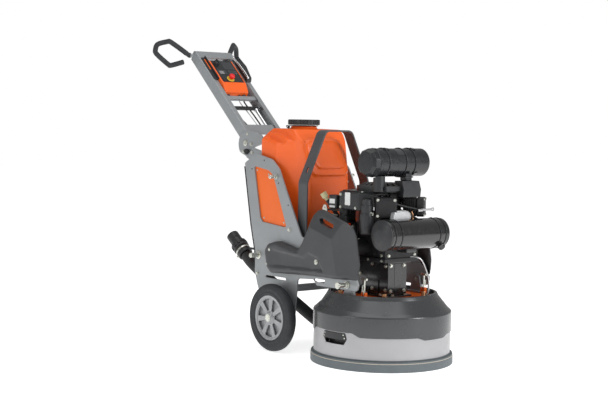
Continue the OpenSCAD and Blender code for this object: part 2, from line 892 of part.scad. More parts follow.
module drive_belt() {
    color("black") translate([0, 0, belt_z]) linear_extrude(belt_h) difference() {
        belt_outline(pulley_r + 0.4 + belt_t);
        belt_outline(pulley_r + 0.4);
    }
}

module satellite(i) {
    color("silver") at_satellite(i) difference() {
        union() {
            cylinder_z(22, 34, satellite_r - 4);
            cylinder_z(34, 49, 30);
            cylinder_z(34, 120, satellite_shaft_r);
            cylinder_z(belt_z + 1, belt_z + belt_h - 1, pulley_r);
            cylinder_z(81, belt_z + 2, 24);
        }
        for (k = [0 : 2]) rotate([0, 0, 120 * k]) translate([disc_bolt_at, 0, 20])
            cylinder(h = 20, r = disc_bolt_r);
    }
}

module satellite_a() {
    satellite(0);
}

module satellite_b() {
    satellite(1);
}

module satellite_c() {
    satellite(2);
}

module tool_disc(i) {
    segments = 3;
    color("gray") at_satellite(i) {
        difference() {
            cylinder_z(14, 22, satellite_r);
            for (k = [0 : 2]) rotate([0, 0, 120 * k]) translate([disc_bolt_at, 0, 10])
                cylinder(h = 20, r = disc_bolt_r);
        }
        for (k = [0 : segments - 1]) rotate([0, 0, 60 + 120 * k]) {
            box([54, -20, 6], [108, 20, 15]);
            box([60, -14, 0], [102, -3, 7]);
            box([60, 3, 0], [102, 14, 7]);
        }
    }
}

module tool_disc_a() {
    tool_disc(0);
}

module tool_disc_b() {
    tool_disc(1);
}

module tool_disc_c() {
    tool_disc(2);
}

// ---- wheels ----

module tyre() {
    half = wheel_w / 2;
    translate([axle_x, -plate_y - wheel_gap - half, wheel_r]) rotate([90, 0, 0])
        rotate_extrude($fn = 128) polygon([
            [106, -half + 4], [112, -half], [140, -half], [156, -half + 3], [wheel_r - 1, -half + 12],
            [wheel_r, 0], [wheel_r - 1, half - 12], [156, half - 3], [140, half], [112, half],
            [106, half - 4]
        ]);
}

module hub() {
    spokes = 7;
    half = wheel_w / 2 - 5;
    translate([axle_x, -plate_y - wheel_gap - wheel_w / 2, wheel_r]) rotate([90, 0, 0])
        difference() {
            union() {
                translate([0, 0, -half]) ring(106, 94, 2 * half);
                translate([0, 0, -10]) cylinder(h = 20, r = 96);
                translate([0, 0, -half - 3]) cylinder(h = 2 * half + 6, r = 30);
                for (i = [0 : spokes - 1]) rotate([0, 0, i * 360 / spokes])
                    translate([24, -9, -half + 3]) cube([74, 18, 2 * half - 6]);
            }
            translate([0, 0, -60]) cylinder(h = 120, r = pin_r + run_gap);
        }
}

module tyre_right() {
    color("black") tyre();
}

module tyre_left() {
    color("black") mirror([0, 1, 0]) tyre();
}

module hub_right() {
    color("silver") hub();
}

module hub_left() {
    color("silver") mirror([0, 1, 0]) hub();
}

side_plate_right();
side_plate_left();
base_frame();
hinge_brackets();
wheel_stubs();
main_tank();
inset_panels();
loop_bar();
side_cover_right();
side_cover_left();
dust_hose();
dust_coupling();
edge_strips();
chassis_fasteners();
plunger_pin();
tank_cap();
handle_frame();
console_housing();
console_face();
grips();
handle_fittings();
control_cables();
stop_button();
throttle_knob();
release_lever();
lock_bar();
gear_deck();
head_casing();
spindle_bearings();
riser_box();
crankcase();
cylinders();
blower_housing();
intake_grille();
starter_motor();
muffler();
air_cleaner();
intake_duct();
tilt_lugs();
dipstick();
head_cover();
skirt_ring();
rubber_lip();
shroud_grips();
latch_right();
latch_left();
flywheel();
carrier_plate();
main_spindle();
drive_belt();
satellite_a();
satellite_b();
satellite_c();
tool_disc_a();
tool_disc_b();
tool_disc_c();
tyre_right();
tyre_left();
hub_right();
hub_left();
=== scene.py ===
"""The looks of a walk-behind planetary concrete grinder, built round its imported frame.

Shapes are made in millimetres in the frame's own axes: +X front, +Y left, +Z up.
"""

import json
import math

import bmesh
import bpy
from mathutils import Matrix, Vector, geometry


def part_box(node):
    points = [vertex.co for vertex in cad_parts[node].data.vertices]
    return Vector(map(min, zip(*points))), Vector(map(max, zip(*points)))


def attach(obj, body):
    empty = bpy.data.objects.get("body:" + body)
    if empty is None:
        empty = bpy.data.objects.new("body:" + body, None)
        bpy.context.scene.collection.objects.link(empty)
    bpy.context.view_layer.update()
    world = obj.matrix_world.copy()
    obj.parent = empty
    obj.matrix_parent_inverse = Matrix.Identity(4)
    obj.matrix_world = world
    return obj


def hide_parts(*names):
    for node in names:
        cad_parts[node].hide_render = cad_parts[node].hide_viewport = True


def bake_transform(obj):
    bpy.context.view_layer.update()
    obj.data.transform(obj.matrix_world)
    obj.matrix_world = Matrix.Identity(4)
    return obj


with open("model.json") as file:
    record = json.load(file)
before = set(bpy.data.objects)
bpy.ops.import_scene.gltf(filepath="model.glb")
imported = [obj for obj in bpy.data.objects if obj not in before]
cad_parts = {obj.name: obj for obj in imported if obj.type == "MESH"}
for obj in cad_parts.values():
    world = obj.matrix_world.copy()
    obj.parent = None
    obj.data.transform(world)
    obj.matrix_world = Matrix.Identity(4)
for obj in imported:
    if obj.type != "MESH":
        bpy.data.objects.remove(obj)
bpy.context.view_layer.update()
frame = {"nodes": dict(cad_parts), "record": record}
MM = 0.001
RECORD_SLOT = {s["node"]: s["material_slot"] for s in frame["record"]["subparts"]}
BODY_OF = {n: b for b, ns in frame["record"]["behaviour"]["bodies"].items() for n in ns}


def low(node):
    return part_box(node)[0] / MM


def high(node):
    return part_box(node)[1] / MM


# ---------------------------------------------------------------- outlines


def fillet(points, radius, closed=True, steps=5):
    """A line with its corners turned into arcs; radius is one number, or one for each corner."""
    points = [Vector((*p, 0.0)) if len(p) == 2 else Vector(p) for p in points]
    count = len(points)
    radii = [radius] * count if isinstance(radius, (int, float)) else radius
    line = []
    for i, corner in enumerate(points):
        if not closed and i in (0, count - 1) or radii[i] == 0:
            line.append(corner.copy())
            continue
        back = points[i - 1] - corner
        ahead = points[(i + 1) % count] - corner
        turn = back.angle(ahead, math.pi)
        if turn > math.radians(179):
            line.append(corner.copy())
            continue
        reach = min(radii[i] / math.tan(turn / 2), 0.48 * back.length, 0.48 * ahead.length)
        start = corner + back.normalized() * reach
        end = corner + ahead.normalized() * reach
        middle = (start + end) / 2
        lift = (corner - middle).normalized()
        r = reach * math.tan(turn / 2)
        centre = corner - lift * (r / math.sin(turn / 2))
        for k in range(steps + 1):
            arm = (start - centre).normalized().slerp((end - centre).normalized(), k / steps)
            line.append(centre + arm * r)
    return line


def arc(cx, cy, r, start, end, steps=12):
    """Points on a circle, from one angle to another in degrees."""
    angles = [math.radians(start + (end - start) * k / steps) for k in range(steps + 1)]
    return [(cx + r * math.cos(a), cy + r * math.sin(a)) for a in angles]


def circle(cx, cy, r, steps=24):
    """A round outline."""
    return arc(cx, cy, r, 0, 360, steps)[:-1]


def slot_line(p, q, r):
    """The outline of a slot with round ends round the line from p to q."""
    turn = math.degrees(math.atan2(q[1] - p[1], q[0] - p[0]))
    return arc(*q, r, turn - 90, turn + 90, 8) + arc(*p, r, turn + 90, turn + 270, 8)


def signed_area(loop):
    """The area of an outline, positive when it runs anticlockwise."""
    pairs = zip(loop, loop[1:] + loop[:1])
    return sum(a[0] * b[1] - b[0] * a[1] for a, b in pairs) / 2


def inset(loop, distance):
    """A closed line moved inwards; it runs anticlockwise for a positive distance."""
    moved = []
    count = len(loop)
    for i in range(count):
        p, q, r = (Vector(loop[j % count][:2]) for j in (i - 1, i, i + 1))
        n1 = Vector((p.y - q.y, q.x - p.x)).normalized()
        n2 = Vector((q.y - r.y, r.x - q.x)).normalized()
        share = (n1 + n2) / max(1 + n1.dot(n2), 0.35)
        moved.append((q.x + share.x * distance, q.y + share.y * distance))
    return moved


# ---------------------------------------------------------------- places


def place(x=0, y=0, z=0):
    return Matrix.Translation((x, y, z))


def facing(point, axis, spin=0):
    """Turns +Z to the axis, at a point."""
    turn = Vector((0, 0, 1)).rotation_difference(Vector(axis)).to_matrix().to_4x4()
    return Matrix.Translation(point) @ turn @ Matrix.Rotation(math.radians(spin), 4, "Z")


def upright(y):
    """Takes a flat XY shape to the XZ plane; its thickness runs from y towards -Y."""
    return Matrix(((1, 0, 0, 0), (0, 0, -1, y), (0, 1, 0, 0), (0, 0, 0, 1)))


def crosswise(x):
    """Takes a flat XY shape to the YZ plane; its thickness runs from x towards +X."""
    return Matrix(((0, 0, 1, x), (1, 0, 0, 0), (0, 1, 0, 0), (0, 0, 0, 1)))


MIRROR = Matrix.Diagonal((1, -1, 1, 1))


# ---------------------------------------------------------------- shapes


def plate(outline, thickness, holes=(), edge=0.8, rounds=2):
    """A flat sheet on z = 0 to thickness, with its edges rounded on both faces."""
    bm = bmesh.new()
    loops = [list(map(lambda p: (p[0], p[1]), loop)) for loop in (outline, *holes)]
    for i, loop in enumerate(loops):
        if (signed_area(loop) < 0) == (i == 0):
            loop.reverse()
    edge = min(edge, thickness / 2.01)
    steps = [k / rounds * math.pi / 2 for k in range(rounds + 1)]
    levels = [(edge * (1 - math.sin(a)), edge * (1 - math.cos(a))) for a in steps]
    levels += [(back, thickness - z) for back, z in reversed(levels)]
    caps = {0: [], len(levels) - 1: []}
    flat = {0: [], len(levels) - 1: []}
    for loop in loops:
        rings = []
        for number, (back, z) in enumerate(levels):
            line = inset(loop, back)
            ring = [bm.verts.new((x, y, z)) for x, y in line]
            rings.append(ring)
            if number in caps:
                caps[number].extend(ring)
                flat[number].append([Vector((x, y, 0)) for x, y in line])
        for a, b in zip(rings, rings[1:]):
            for k in range(len(a)):
                n = (k + 1) % len(a)
                bm.faces.new((a[k], a[n], b[n], b[k]))
    for number, ring in caps.items():
        for t in geometry.tessellate_polygon(flat[number]):
            try:
                bm.faces.new([ring[k] for k in t])
            except ValueError:
                pass
    bmesh.ops.recalc_face_normals(bm, faces=bm.faces)
    return bm


def lathe(profile, segments=64, closed=False, start=0, turn=360, radius=None):
    """A (r, z) profile turned about Z. radius, if given, changes a point's r with the angle."""
    bm = bmesh.new()
    whole = turn == 360
    rings = []
    for k in range(segments if whole else segments + 1):
        a = math.radians(start + turn * k / segments)
        rings.append([(math.cos(a), math.sin(a), math.degrees(a))] * 1)
    grid = []
    poles = {}
    for c, s, a in (r[0] for r in rings):
        column = []
        for i, p in enumerate(profile):
            r, z = p[0], p[1]
            if radius:
                r = radius(r, z, a)
            if r < 1e-6:
                if i not in poles:
                    poles[i] = bm.verts.new((0, 0, z))
                column.append(poles[i])
            else:
                column.append(bm.verts.new((r * c, r * s, z)))
        grid.append(column)
    columns = len(grid)
    rows = len(profile)
    for k in range(columns if whole else columns - 1):
        a, b = grid[k], grid[(k + 1) % columns]
        for i in range(rows if closed else rows - 1):
            j = (i + 1) % rows
            corners = []
            for v in (a[i], b[i], b[j], a[j]):
                if v not in corners:
                    corners.append(v)
            if len(corners) > 2:
                bm.faces.new(corners)
    if closed and not whole:
        bm.faces.new(grid[0])
        bm.faces.new(grid[-1])
    bmesh.ops.recalc_face_normals(bm, faces=bm.faces)
    return bm


def sweep(path, section, closed=False, up=(0, 0, 1), sizes=None):
    """A section, a radius or a list of (u, v) points, along a path; u runs along up x heading."""
    if isinstance(section, (int, float)):
        section = [(section * x, section * y) for x, y in circle(0, 0, 1, 16)]
    path = [Vector(p) for p in path]
    count = len(path)
    bm = bmesh.new()
    rings = []
    side = None
    for i, point in enumerate(path):
        before = path[i - 1] if i or closed else point
        after = path[(i + 1) % count] if i < count - 1 or closed else point
        heading = ((after - point).normalized() + (point - before).normalized()).normalized()
        if side is None:
            side = Vector(up).cross(heading).normalized()
        else:
            side = (side - heading * side.dot(heading)).normalized()
        lift = heading.cross(side)
        size = sizes[i] if sizes else 1.0
        rings.append([bm.verts.new(point + side * (u * size) + lift * (v * size)) for u, v in section])
    sides = len(section)
    for k in range(count if closed else count - 1):
        a, b = rings[k], rings[(k + 1) % count]
        for i in range(sides):
            j = (i + 1) % sides
            bm.faces.new((a[i], a[j], b[j], b[i]))
    if not closed:
        bm.faces.new(rings[0])
        bm.faces.new(rings[-1])
    bmesh.ops.recalc_face_normals(bm, faces=bm.faces)
    return bm


def block(a, b, edge=1.5, rounds=2):
    """A box between two corners with rounded edges."""
    bm = bmesh.new()
    bmesh.ops.create_cube(bm, size=1)
    a, b = Vector(a), Vector(b)
    for v in bm.verts:
        v.co = Vector(((a[k] + b[k]) / 2 + v.co[k] * (b[k] - a[k]) for k in range(3)))
    if edge:
        edges = list(bm.edges)
        bmesh.ops.bevel(bm, geom=edges, offset=edge, segments=rounds, profile=0.5, affect="EDGES")
    return bm


def rounded_rod(length, r, edge=1.0, segments=32):
    """A rod from z = 0 up, with rounded ends."""
    edge = min(edge, r * 0.9, length / 2.1)
    return lathe(fillet([(0, 0), (r, 0), (r, length), (0, length)], edge, closed=False, steps=3), segments)


def tube_ring(r_out, r_in, height, edge=0.8, segments=48):
    corners = [(r_in, 0), (r_out, 0), (r_out, height), (r_in, height)]
    return lathe(fillet(corners, edge, steps=3), segments, closed=True)


def hexagon(across, height, edge=0.8):
    """A hexagon head that stands on z = 0, with its top edge turned down."""
    r = across / math.sqrt(3)
    return plate(circle(0, 0, r, 6), height, edge=edge, rounds=1)


def transformed(bm, matrix):
    bmesh.ops.transform(bm, matrix=matrix, verts=bm.verts)
    if matrix.determinant() < 0:
        bmesh.ops.reverse_faces(bm, faces=bm.faces)
    return bm


def joined(*shapes):
    """One shape out of several."""
    whole = bmesh.new()
    for bm in shapes:
        scratch = bpy.data.meshes.new("scratch")
        bm.to_mesh(scratch)
        bm.free()
        whole.from_mesh(scratch)
        bpy.data.meshes.remove(scratch)
    return whole


def bolt(point, axis, size=8, washer=True, spin=0, nut=False):
    """A hexagon bolt head on its washer; size is the thread's diameter."""
    shapes = []
    base = 0
    if washer:
        base = size * 0.2
        shapes.append(tube_ring(size * 1.1, size * 0.3, base, 0.3, 32))
    shapes.append(transformed(hexagon(size * 1.6, size * 0.62, size * 0.07), place(z=base)))
    if nut:
        shapes.append(transformed(rounded_rod(size * 0.5, size * 0.48, 0.6, 20), place(z=base + size * 0.6)))
    return transformed(joined(*shapes), facing(point, axis, spin))


def cap_screw(point, axis, r=5.0, height=3.0):
    """A round-headed screw with a round socket."""
    profile = fillet([(0, height * 0.4), (r * 0.5, height * 0.4), (r * 0.5, height), (r, height), (r, 0)],
                     [0, 0, 0.3, min(height * 0.6, r * 0.4), 0], closed=False, steps=3)
    return transformed(lathe(profile, 24), facing(point, axis))


# ---------------------------------------------------------------- pieces


def piece(name, material, body, slot, *shapes, replaces=(), smooth=35, weighted=True):
    """A named object out of shapes in millimetres, which moves with a body of the frame."""
    bm = joined(*shapes)
    bmesh.ops.transform(bm, matrix=Matrix.Scale(MM, 4), verts=bm.verts)
    mesh = bpy.data.meshes.new(name)
    bm.to_mesh(mesh)
    bm.free()
    mesh.shade_smooth()
    mesh.set_sharp_from_angle(angle=math.radians(smooth))
    mesh.materials.append(material)
    obj = bpy.data.objects.new(name, mesh)
    bpy.context.scene.collection.objects.link(obj)
    if weighted:
        modifier = obj.modifiers.new("even shading", "WEIGHTED_NORMAL")
        modifier.keep_sharp = True
    if body:
        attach(obj, body)
    if replaces:
        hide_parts(*replaces)
    return obj


def cad_shape(node, edge=1.0, rounds=2, angle=32):
    """A frame node's own shape with its sharp edges rounded off."""
    bm = bmesh.new()
    bm.from_mesh(frame["nodes"][node].data)
    bmesh.ops.transform(bm, matrix=Matrix.Scale(1 / MM, 4), verts=bm.verts)
    bmesh.ops.remove_doubles(bm, verts=bm.verts, dist=0.01)
    bmesh.ops.dissolve_limit(bm, angle_limit=math.radians(0.6), verts=bm.verts, edges=bm.edges)
    if edge:
        sharp = [
            e for e in bm.edges
            if len(e.link_faces) == 2 and e.calc_face_angle(0) > math.radians(angle)
        ]
        bmesh.ops.bevel(bm, geom=sharp, offset=edge, segments=rounds, profile=0.5,
                        affect="EDGES", clamp_overlap=True)
    return bm


def softened(node, material, edge=1.0, rounds=2, extra=(), smooth=35):
    """A piece in place of a frame node: its own shape with rounded edges, and any extras."""
    return piece(node + "_finish", material, BODY_OF[node], RECORD_SLOT[node],
                 cad_shape(node, edge, rounds), *extra, replaces=(node,), smooth=smooth)


# ---------------------------------------------------------------- materials


def graph(name):
    material = bpy.data.materials.new(name)
    material.use_nodes = True
    tree = material.node_tree
    shader = tree.nodes["Principled BSDF"]
    place_node = tree.nodes.new("ShaderNodeTexCoord")
    return material, tree, shader, place_node.outputs["Object"]


def noise(tree, vector, size, detail=3.0, stretch=None):
    """Noise whose blotches are about size millimetres across."""
    if stretch:
        mapping = tree.nodes.new("ShaderNodeMapping")
        mapping.inputs["Scale"].default_value = stretch
        tree.links.new(vector, mapping.inputs["Vector"])
        vector = mapping.outputs["Vector"]
    node = tree.nodes.new("ShaderNodeTexNoise")
    node.inputs["Scale"].default_value = 1 / (size * MM)
    node.inputs["Detail"].default_value = detail
    tree.links.new(vector, node.inputs["Vector"])
    return node.outputs["Fac"]


def ranged(tree, value, low_in, high_in, low_out, high_out):
    node = tree.nodes.new("ShaderNodeMapRange")
    for key, number in zip(("From Min", "From Max", "To Min", "To Max"),
                           (low_in, high_in, low_out, high_out)):
        node.inputs[key].default_value = number
    tree.links.new(value, node.inputs["Value"])
    return node.outputs["Result"]


def blended(tree, factor, a, b):
    node = tree.nodes.new("ShaderNodeMix")
    node.data_type = "RGBA"
    node.inputs["A"].default_value = (*a, 1)
    node.inputs["B"].default_value = (*b, 1)
    tree.links.new(factor, node.inputs["Factor"])
    return node.outputs["Result"]


def finish_of(name, color, rough, metallic=0.0, variety=0.06, patch=60, grain=0.7, height=0.03,
              rough_spread=0.08, stretch=None, coat=0.0, coat_rough=0.1, specular=0.5, tint=None):
    """One surface: blotches in its colour and gloss, and a fine grain in its relief."""
    material, tree, shader, vector = graph(name)
    broad = noise(tree, vector, patch, 4.0)
    fine = noise(tree, vector, grain, 2.0, stretch)
    dark = tuple(c * (1 - variety) for c in color)
    light = tint or tuple(min(1, c * (1 + variety)) for c in color)
    tree.links.new(blended(tree, ranged(tree, broad, 0.3, 0.7, 0, 1), dark, light),
                   shader.inputs["Base Color"])
    worn = noise(tree, vector, patch * 0.28, 5.0, stretch)
    tree.links.new(ranged(tree, worn, 0.3, 0.7, max(0.02, rough - rough_spread), rough + rough_spread),
                   shader.inputs["Roughness"])
    bump = tree.nodes.new("ShaderNodeBump")
    bump.inputs["Strength"].default_value = 0.6
    bump.inputs["Distance"].default_value = height * MM
    tree.links.new(fine, bump.inputs["Height"])
    tree.links.new(bump.outputs["Normal"], shader.inputs["Normal"])
    shader.inputs["Metallic"].default_value = metallic
    shader.inputs["Coat Weight"].default_value = coat
    shader.inputs["Coat Roughness"].default_value = coat_rough
    shader.inputs["Specular IOR Level"].default_value = specular
    return material


FRAME_GREY = finish_of("frame grey powder coat", (0.30, 0.315, 0.325), 0.40, 0.35, 0.04, 90, 1.3, 0.05)
SKIRT_GREY = finish_of("skirt grey paint", (0.40, 0.40, 0.41), 0.42, 0.35, 0.03, 110, 1.3, 0.04)
GRAPHITE = finish_of("graphite moulding", (0.056, 0.058, 0.061), 0.38, 0.25, 0.06, 80, 0.8, 0.03)
COVER_GRAPHITE = finish_of("dust cover moulding", (0.075, 0.077, 0.08), 0.26, 0.5, 0.02, 160, 0.8, 0.012,
                           rough_spread=0.02)
BAR_GRAPHITE = finish_of("loop bar powder coat", (0.075, 0.08, 0.085), 0.42, 0.2, 0.06, 70, 1.1, 0.05)
ORANGE = finish_of("orange moulded plastic", (0.88, 0.125, 0.010), 0.36, 0.0, 0.04, 120, 1.6, 0.05)
ORANGE_PAINT = finish_of("orange paint", (0.82, 0.135, 0.008), 0.40, 0.0, 0.03, 90, 1.0, 0.03)
BLACK_PLASTIC = finish_of("black moulding", (0.018, 0.019, 0.021), 0.42, 0.0, 0.15, 50, 0.7, 0.05)
BLACK_SATIN = finish_of("black satin shell", (0.014, 0.015, 0.017), 0.30, 0.0, 0.12, 60, 0.9, 0.03)
BLACK_PAINT = finish_of("black gloss paint", (0.009, 0.009, 0.010), 0.20, 0.0, 0.15, 50, 1.4, 0.02, coat=0.5)
ENGINE_BLACK = finish_of("black engine casting", (0.017, 0.017, 0.019), 0.48, 0.2, 0.2, 30, 1.8, 0.18)
RUBBER = finish_of("black rubber", (0.016, 0.017, 0.018), 0.62, 0.0, 0.2, 40, 0.9, 0.08)
FOAM = finish_of("grip foam", (0.022, 0.024, 0.026), 0.72, 0.0, 0.2, 25, 0.8, 0.16)
TYRE = finish_of("solid tyre rubber", (0.020, 0.023, 0.027), 0.66, 0.0, 0.15, 45, 1.5, 0.08)
LIP_RUBBER = finish_of("grey lip rubber", (0.115, 0.135, 0.145), 0.55, 0.0, 0.06, 60, 1.2, 0.06)
LIP_CORD = finish_of("lip stripe", (0.50, 0.45, 0.37), 0.6, 0.0, 0.08, 20, 0.6, 0.05)
ZINC = finish_of("zinc plating", (0.62, 0.64, 0.62), 0.28, 0.9, 0.12, 9, 0.8, 0.03, tint=(0.70, 0.70, 0.60))
STEEL = finish_of("turned steel", (0.50, 0.50, 0.51), 0.30, 1.0, 0.06, 25, 0.5, 0.02, stretch=(1, 1, 9))
CHROME = finish_of("chrome", (0.78, 0.79, 0.80), 0.08, 1.0, 0.03, 40, 2.0, 0.005, rough_spread=0.03)
ALUMINIUM = finish_of("cast aluminium", (0.52, 0.53, 0.54), 0.42, 0.85, 0.08, 30, 1.4, 0.10)
HUB_GREY = finish_of("grey hub moulding", (0.33, 0.34, 0.35), 0.38, 0.25, 0.05, 40, 0.9, 0.04)
RED = finish_of("red button", (0.72, 0.012, 0.012), 0.15, 0.0, 0.05, 12, 1.0, 0.01, rough_spread=0.04)
YELLOW = finish_of("yellow collar", (0.72, 0.46, 0.03), 0.3, 0.0, 0.06, 12, 0.8, 0.02)
BEIGE = finish_of("beige cap", (0.47, 0.44, 0.25), 0.45, 0.0, 0.08, 15, 0.7, 0.04)
COPPER = finish_of("copper clip", (0.62, 0.34, 0.18), 0.3, 0.9, 0.1, 10, 0.7, 0.03)
DISPLAY = finish_of("display pane", (0.030, 0.032, 0.036), 0.12, 0.0, 0.1, 30, 1.2, 0.003, coat=0.5)
LABEL_WHITE = finish_of("plain label", (0.72, 0.73, 0.72), 0.35, 0.0, 0.02, 20, 0.8, 0.01)
CABLE_WHITE = finish_of("pale cable sheath", (0.50, 0.52, 0.54), 0.4, 0.0, 0.05, 15, 0.6, 0.02)
SLOT_FINISH = {
    "frame_grey": FRAME_GREY, "skirt_grey": SKIRT_GREY, "cover_graphite": GRAPHITE,
    "orange_plastic": ORANGE, "orange_paint": ORANGE_PAINT, "black_plastic": BLACK_PLASTIC,
    "black_paint": BLACK_PAINT, "bar_graphite": BAR_GRAPHITE, "black_rubber": RUBBER,
    "grey_rubber": LIP_RUBBER, "tyre": TYRE, "zinc": ZINC, "steel": STEEL, "chrome": CHROME,
    "aluminium": ALUMINIUM, "engine_grey": ENGINE_BLACK, "red_plastic": RED, "beige_plastic": BEIGE,
}

# ---------------------------------------------------------------- stage


def look_from(position, right, up):
    right, up = Vector(right), Vector(up)
    back = right.cross(up)
    columns = Matrix((right, up, back)).transposed().to_4x4()
    return Matrix.Translation(position) @ columns


def camera():
    azimuth, pitch, roll = math.radians(50.8), math.radians(3.53), 0.0166
    ahead = Vector((-math.sin(azimuth) * math.cos(pitch), math.cos(azimuth) * math.cos(pitch),
                    -math.sin(pitch)))
    level = Vector((math.cos(azimuth), math.sin(azimuth), 0))
    rise = level.cross(ahead)
    right = level * math.cos(roll) + rise * math.sin(roll)
    up = rise * math.cos(roll) - level * math.sin(roll)
    data = bpy.data.cameras.new("camera")
    data.lens = 76.09
    data.sensor_width = 36.0
    data.clip_end = 100.0
    obj = bpy.data.objects.new("camera", data)
    obj.matrix_world = look_from((4.3529, -4.0284, 1.0916), right, up)
    bpy.context.scene.collection.objects.link(obj)
    bpy.context.scene.camera = obj


def softbox(name, position, target, width, height, power):
    """An area light aimed at the machine."""
    data = bpy.data.lights.new(name, "AREA")
    data.shape = "RECTANGLE"
    data.size = width
    data.size_y = height
    data.energy = power
    obj = bpy.data.objects.new(name, data)
    aim = Vector(target) - Vector(position)
    obj.matrix_world = Matrix.Translation(position) @ aim.to_track_quat("-Z", "Y").to_matrix().to_4x4()
    bpy.context.scene.collection.objects.link(obj)


def stage():
    """A white studio: the backdrop is white to the camera and dimmer as a light."""
    world = bpy.data.worlds.new("studio")
    world.use_nodes = True
    tree = world.node_tree
    background = tree.nodes["Background"]
    background.inputs["Color"].default_value = (1, 1, 1, 1)
    path = tree.nodes.new("ShaderNodeLightPath")
    strength = tree.nodes.new("ShaderNodeMapRange")
    strength.inputs["To Min"].default_value = 0.36
    strength.inputs["To Max"].default_value = 1.0
    tree.links.new(path.outputs["Is Camera Ray"], strength.inputs["Value"])
    tree.links.new(strength.outputs["Result"], background.inputs["Strength"])
    bpy.context.scene.world = world
    bpy.context.scene.view_settings.view_transform = "Standard"
    middle = (-0.3, 0, 0.6)
    softbox("top softbox", (0.2, -0.4, 4.2), middle, 4.0, 3.0, 62)
    softbox("key softbox", (-0.6, -4.8, 2.4), middle, 1.6, 2.8, 38)
    softbox("front softbox", (4.4, 1.6, 2.4), middle, 1.4, 2.8, 120)
    bm = bmesh.new()
    bmesh.ops.create_circle(bm, cap_ends=True, radius=24000, segments=64)
    material = finish_of("pale floor", (0.90, 0.90, 0.90), 0.75, 0.0, 0.01, 900, 3.0, 0.02, specular=0.2)
    shader = material.node_tree.nodes["Principled BSDF"]
    shader.inputs["Emission Color"].default_value = (1, 1, 1, 1)
    shader.inputs["Emission Strength"].default_value = 0.72
    floor = piece("floor", material, None, "floor", transformed(bm, place(z=-0.3)), weighted=False)


camera()
stage()

# ---------------------------------------------------------------- floating shroud

LIP_R = high("rubber_lip").x
SKIRT_R = high("skirt_ring").x
COVER_R = high("head_cover").x
COVER_TOP = high("head_cover").z
GRIP_TURN = -85


def eased(value, start, end):
    t = min(1, max(0, (value - start) / (end - start)))
    return t * t * (3 - 2 * t)


def along(value, table):
    """Straight stretches between (at, value) pairs."""
    for (a, p), (b, q) in zip(table, table[1:]):
        if value <= b:
            return p + (q - p) * max(0, value - a) / (b - a)
    return table[-1][1]


def cover_profile(angle):
    """The dust cover's section at an angle in degrees from the front."""
    turn = (angle + 90) % 180 - 90
    hem = along(turn, [(-67, 167), (-60.6, 150), (-12.5, 150), (-5.7, 138), (17.3, 138), (24, 150),
                       (60.6, 150), (67, 167)])
    away = abs((angle + 180) % 360 - 180)
    flow = eased(away, 118, 42)
    foot_r = 285 + 19 * flow
    foot_z = 272 - 17 * flow
    outer = [(COVER_R, hem), (COVER_R, 241), (foot_r, foot_z), (260, 308), (251, COVER_TOP),
             (240, COVER_TOP)]
    radii = [0, 11, 9 - 5 * flow, 7, 4, 0]
    outer = fillet(outer, radii, closed=False, steps=5)
    inner = [Vector((p.x - 3.1, p.y - 2.0, 0)) for p in outer]
    inner[0].y = hem
    inner[-1] = Vector((240, COVER_TOP - 5, 0))
    return [(p.x, p.y) for p in outer] + [(p.x, p.y) for p in reversed(inner)]


def dust_cover():
    """The dark cover over the tools, with its stepped edge."""
    bm = bmesh.new()
    count = 360
    grid = []
    for k in range(count):
        a = math.radians(k)
        grid.append([bm.verts.new((r * math.cos(a), r * math.sin(a), z)) for r, z in cover_profile(k)])
    rows = len(grid[0])
    for k in range(count):
        a, b = grid[k], grid[(k + 1) % count]
        for i in range(rows):
            j = (i + 1) % rows
            bm.faces.new((a[i], b[i], b[j], a[j]))
    bmesh.ops.recalc_face_normals(bm, faces=bm.faces)
    piece("dust_cover", COVER_GRAPHITE, "shroud", "cover_graphite", bm, replaces=("head_cover",),
          smooth=50, weighted=False)


def cut_away(obj, *shapes):
    """Takes shapes in millimetres out of a piece."""
    bm = joined(*shapes)
    bmesh.ops.transform(bm, matrix=Matrix.Scale(MM, 4), verts=bm.verts)
    mesh = bpy.data.meshes.new("cutter")
    bm.to_mesh(mesh)
    bm.free()
    cutter = bpy.data.objects.new("cutter", mesh)
    bpy.context.scene.collection.objects.link(cutter)
    modifier = obj.modifiers.new("cut", "BOOLEAN")
    modifier.operation = "DIFFERENCE"
    modifier.object = cutter
    modifier.solver = "EXACT"
    obj.modifiers.move(len(obj.modifiers) - 1, 0)
    evaluated = obj.evaluated_get(bpy.context.evaluated_depsgraph_get())
    result = bpy.data.meshes.new_from_object(evaluated)
    slots = list(obj.data.materials)
    obj.modifiers.remove(modifier)
    obj.data = result
    if not result.materials:
        result.materials.append(slots[0])
    bpy.data.objects.remove(cutter)
    result.set_sharp_from_angle(angle=math.radians(35))


def curved(outline, r, depth, edge=1.0, grid=6):
    """A sheet of an outline in (arc length, z), bent round Z at radius r; it reaches out by depth."""
    bm = plate(outline, depth, edge=edge)
    length = max(p[0] for p in outline) - min(p[0] for p in outline)
    cuts = int(length / grid)
    start = min(p[0] for p in outline)
    for k in range(1, cuts):
        x = start + length * k / cuts
        geometry_all = list(bm.verts) + list(bm.edges) + list(bm.faces)
        bmesh.ops.bisect_plane(bm, geom=geometry_all, plane_co=(x, 0, 0), plane_no=(1, 0, 0))
    for v in bm.verts:
        u, z, out = v.co
        a = u / r
        v.co = ((r + out) * math.cos(a), (r + out) * math.sin(a), z)
    bmesh.ops.recalc_face_normals(bm, faces=bm.faces)
    return bm


